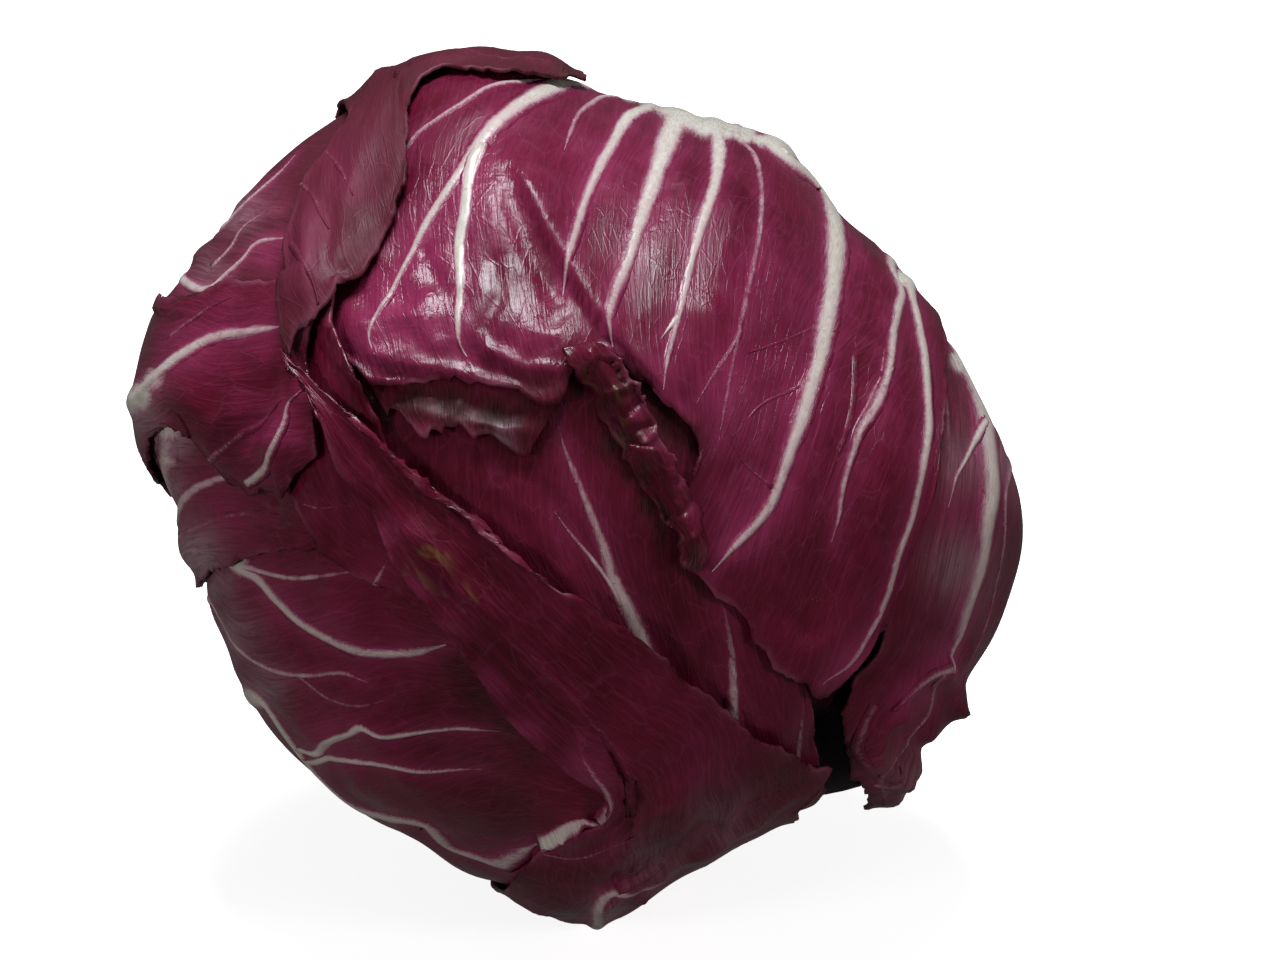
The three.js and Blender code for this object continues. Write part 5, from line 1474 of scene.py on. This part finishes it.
class ButtOperator(bpy.types.Operator):
    """Make the cut butt"""

    bl_idname = "mesh.radicchio_butt"
    bl_label = "Make Butt"
    bl_options = {"REGISTER", "UNDO"}

    def execute(self, context):
        piece = make_butt(butt_material())
        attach(piece, "root")
        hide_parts("stem_butt")
        return {"FINISHED"}


# Where the lamps stand, metres, and how wide they are.
KEY_AT, KEY_SIZE = (-0.02, 0.12, 1.0), 0.4
FILL_AT, SIDE_AT, LOW_SIZE = (-0.8, -0.75, 0.25), (0.9, -0.6, 0.3), 0.2
KEY_TINT = (0.9, 0.95, 1.0)
SKY_TINT = (1.0, 0.94, 0.95, 1.0)
SENSOR = 36.0          # width of the camera's sensor, mm


def area_light(name, place_at, target, power, size, tint=(1, 1, 1), shine=True):
    light = bpy.data.lights.new(name, "AREA")
    light.energy = power
    light.size = size
    light.color = tint
    lamp = bpy.data.objects.new(name, light)
    lamp.location = place_at
    lamp.visible_glossy = shine
    lamp.rotation_euler = (Vector(target) - Vector(place_at)).to_track_quat("-Z", "Y").to_euler()
    bpy.context.scene.collection.objects.link(lamp)


class StageOperator(bpy.types.Operator):
    """Set the floor, the camera and the lights"""

    bl_idname = "scene.radicchio_stage"
    bl_label = "Set Stage"
    bl_options = {"REGISTER", "UNDO"}

    def execute(self, context):
        settings = context.scene.radicchio_stage
        scene = context.scene
        bm = bmesh.new()
        bmesh.ops.create_grid(bm, x_segments=1, y_segments=1, size=6.0)
        mesh = bpy.data.meshes.new("floor")
        bm.to_mesh(mesh)
        bm.free()
        mesh.materials.append(floor_material())
        floor = bpy.data.objects.new("floor", mesh)
        floor.visible_diffuse = False
        floor.visible_glossy = False
        scene.collection.objects.link(floor)

        middle = CENTRE * MM
        aim = middle + ACROSS * settings.aim[0] + UP * settings.aim[1]
        camera = bpy.data.objects.new("camera", bpy.data.cameras.new("camera"))
        camera.data.sensor_width = SENSOR
        camera.data.lens = SENSOR * settings.distance / settings.view_width
        camera.data.clip_end = 50.0
        camera.location = Vector(aim + CROWN * settings.distance)
        turned = Matrix((ACROSS, UP, CROWN)).transposed()
        camera.rotation_euler = turned.to_euler()
        scene.collection.objects.link(camera)
        scene.camera = camera

        area_light("key", KEY_AT, middle, settings.key_power, KEY_SIZE, KEY_TINT)
        area_light("fill", FILL_AT, middle, settings.fill_power, LOW_SIZE, shine=False)
        area_light("side", SIDE_AT, middle, settings.side_power, LOW_SIZE, shine=False)
        world = bpy.data.worlds.new("surroundings")
        world.use_nodes = True
        background = world.node_tree.nodes["Background"]
        background.inputs["Color"].default_value = SKY_TINT
        background.inputs["Strength"].default_value = settings.sky
        scene.world = world
        scene.view_settings.view_transform = "Standard"
        return {"FINISHED"}


class RadicchioPanel(bpy.types.Panel):
    """Sidebar panel of the head"""

    bl_idname = "VIEW3D_PT_radicchio"
    bl_label = "Radicchio Head"
    bl_space_type = "VIEW_3D"
    bl_region_type = "UI"
    bl_category = "Radicchio"

    def draw(self, context):
        layout = self.layout
        leaf, stage = context.scene.radicchio_leaf, context.scene.radicchio_stage
        for name in ("deep_colour", "lit_colour", "halo_colour", "pale_colour", "rib_colour",
                     "roughness"):
            layout.prop(leaf, name)
        for name in ("distance", "view_width", "aim", "key_power", "fill_power", "side_power",
                     "sky"):
            layout.prop(stage, name)
        for made in (HeartOperator, ButtOperator, LeafOperator, StageOperator):
            layout.operator(made.bl_idname)


CLASSES = (LeafSettings, StageSettings, HeartOperator, ButtOperator, LeafOperator, StageOperator,
           RadicchioPanel)


def register():
    for made in CLASSES:
        bpy.utils.register_class(made)
    bpy.types.Scene.radicchio_leaf = PointerProperty(type=LeafSettings)
    bpy.types.Scene.radicchio_stage = PointerProperty(type=StageSettings)


def unregister():
    del bpy.types.Scene.radicchio_stage
    del bpy.types.Scene.radicchio_leaf
    for made in reversed(CLASSES):
        bpy.utils.unregister_class(made)


def main():
    register()
    bpy.ops.mesh.radicchio_heart()
    bpy.ops.mesh.radicchio_butt()
    bpy.ops.mesh.radicchio_leaves()
    bpy.ops.scene.radicchio_stage()


if __name__ == "__main__":
    main()
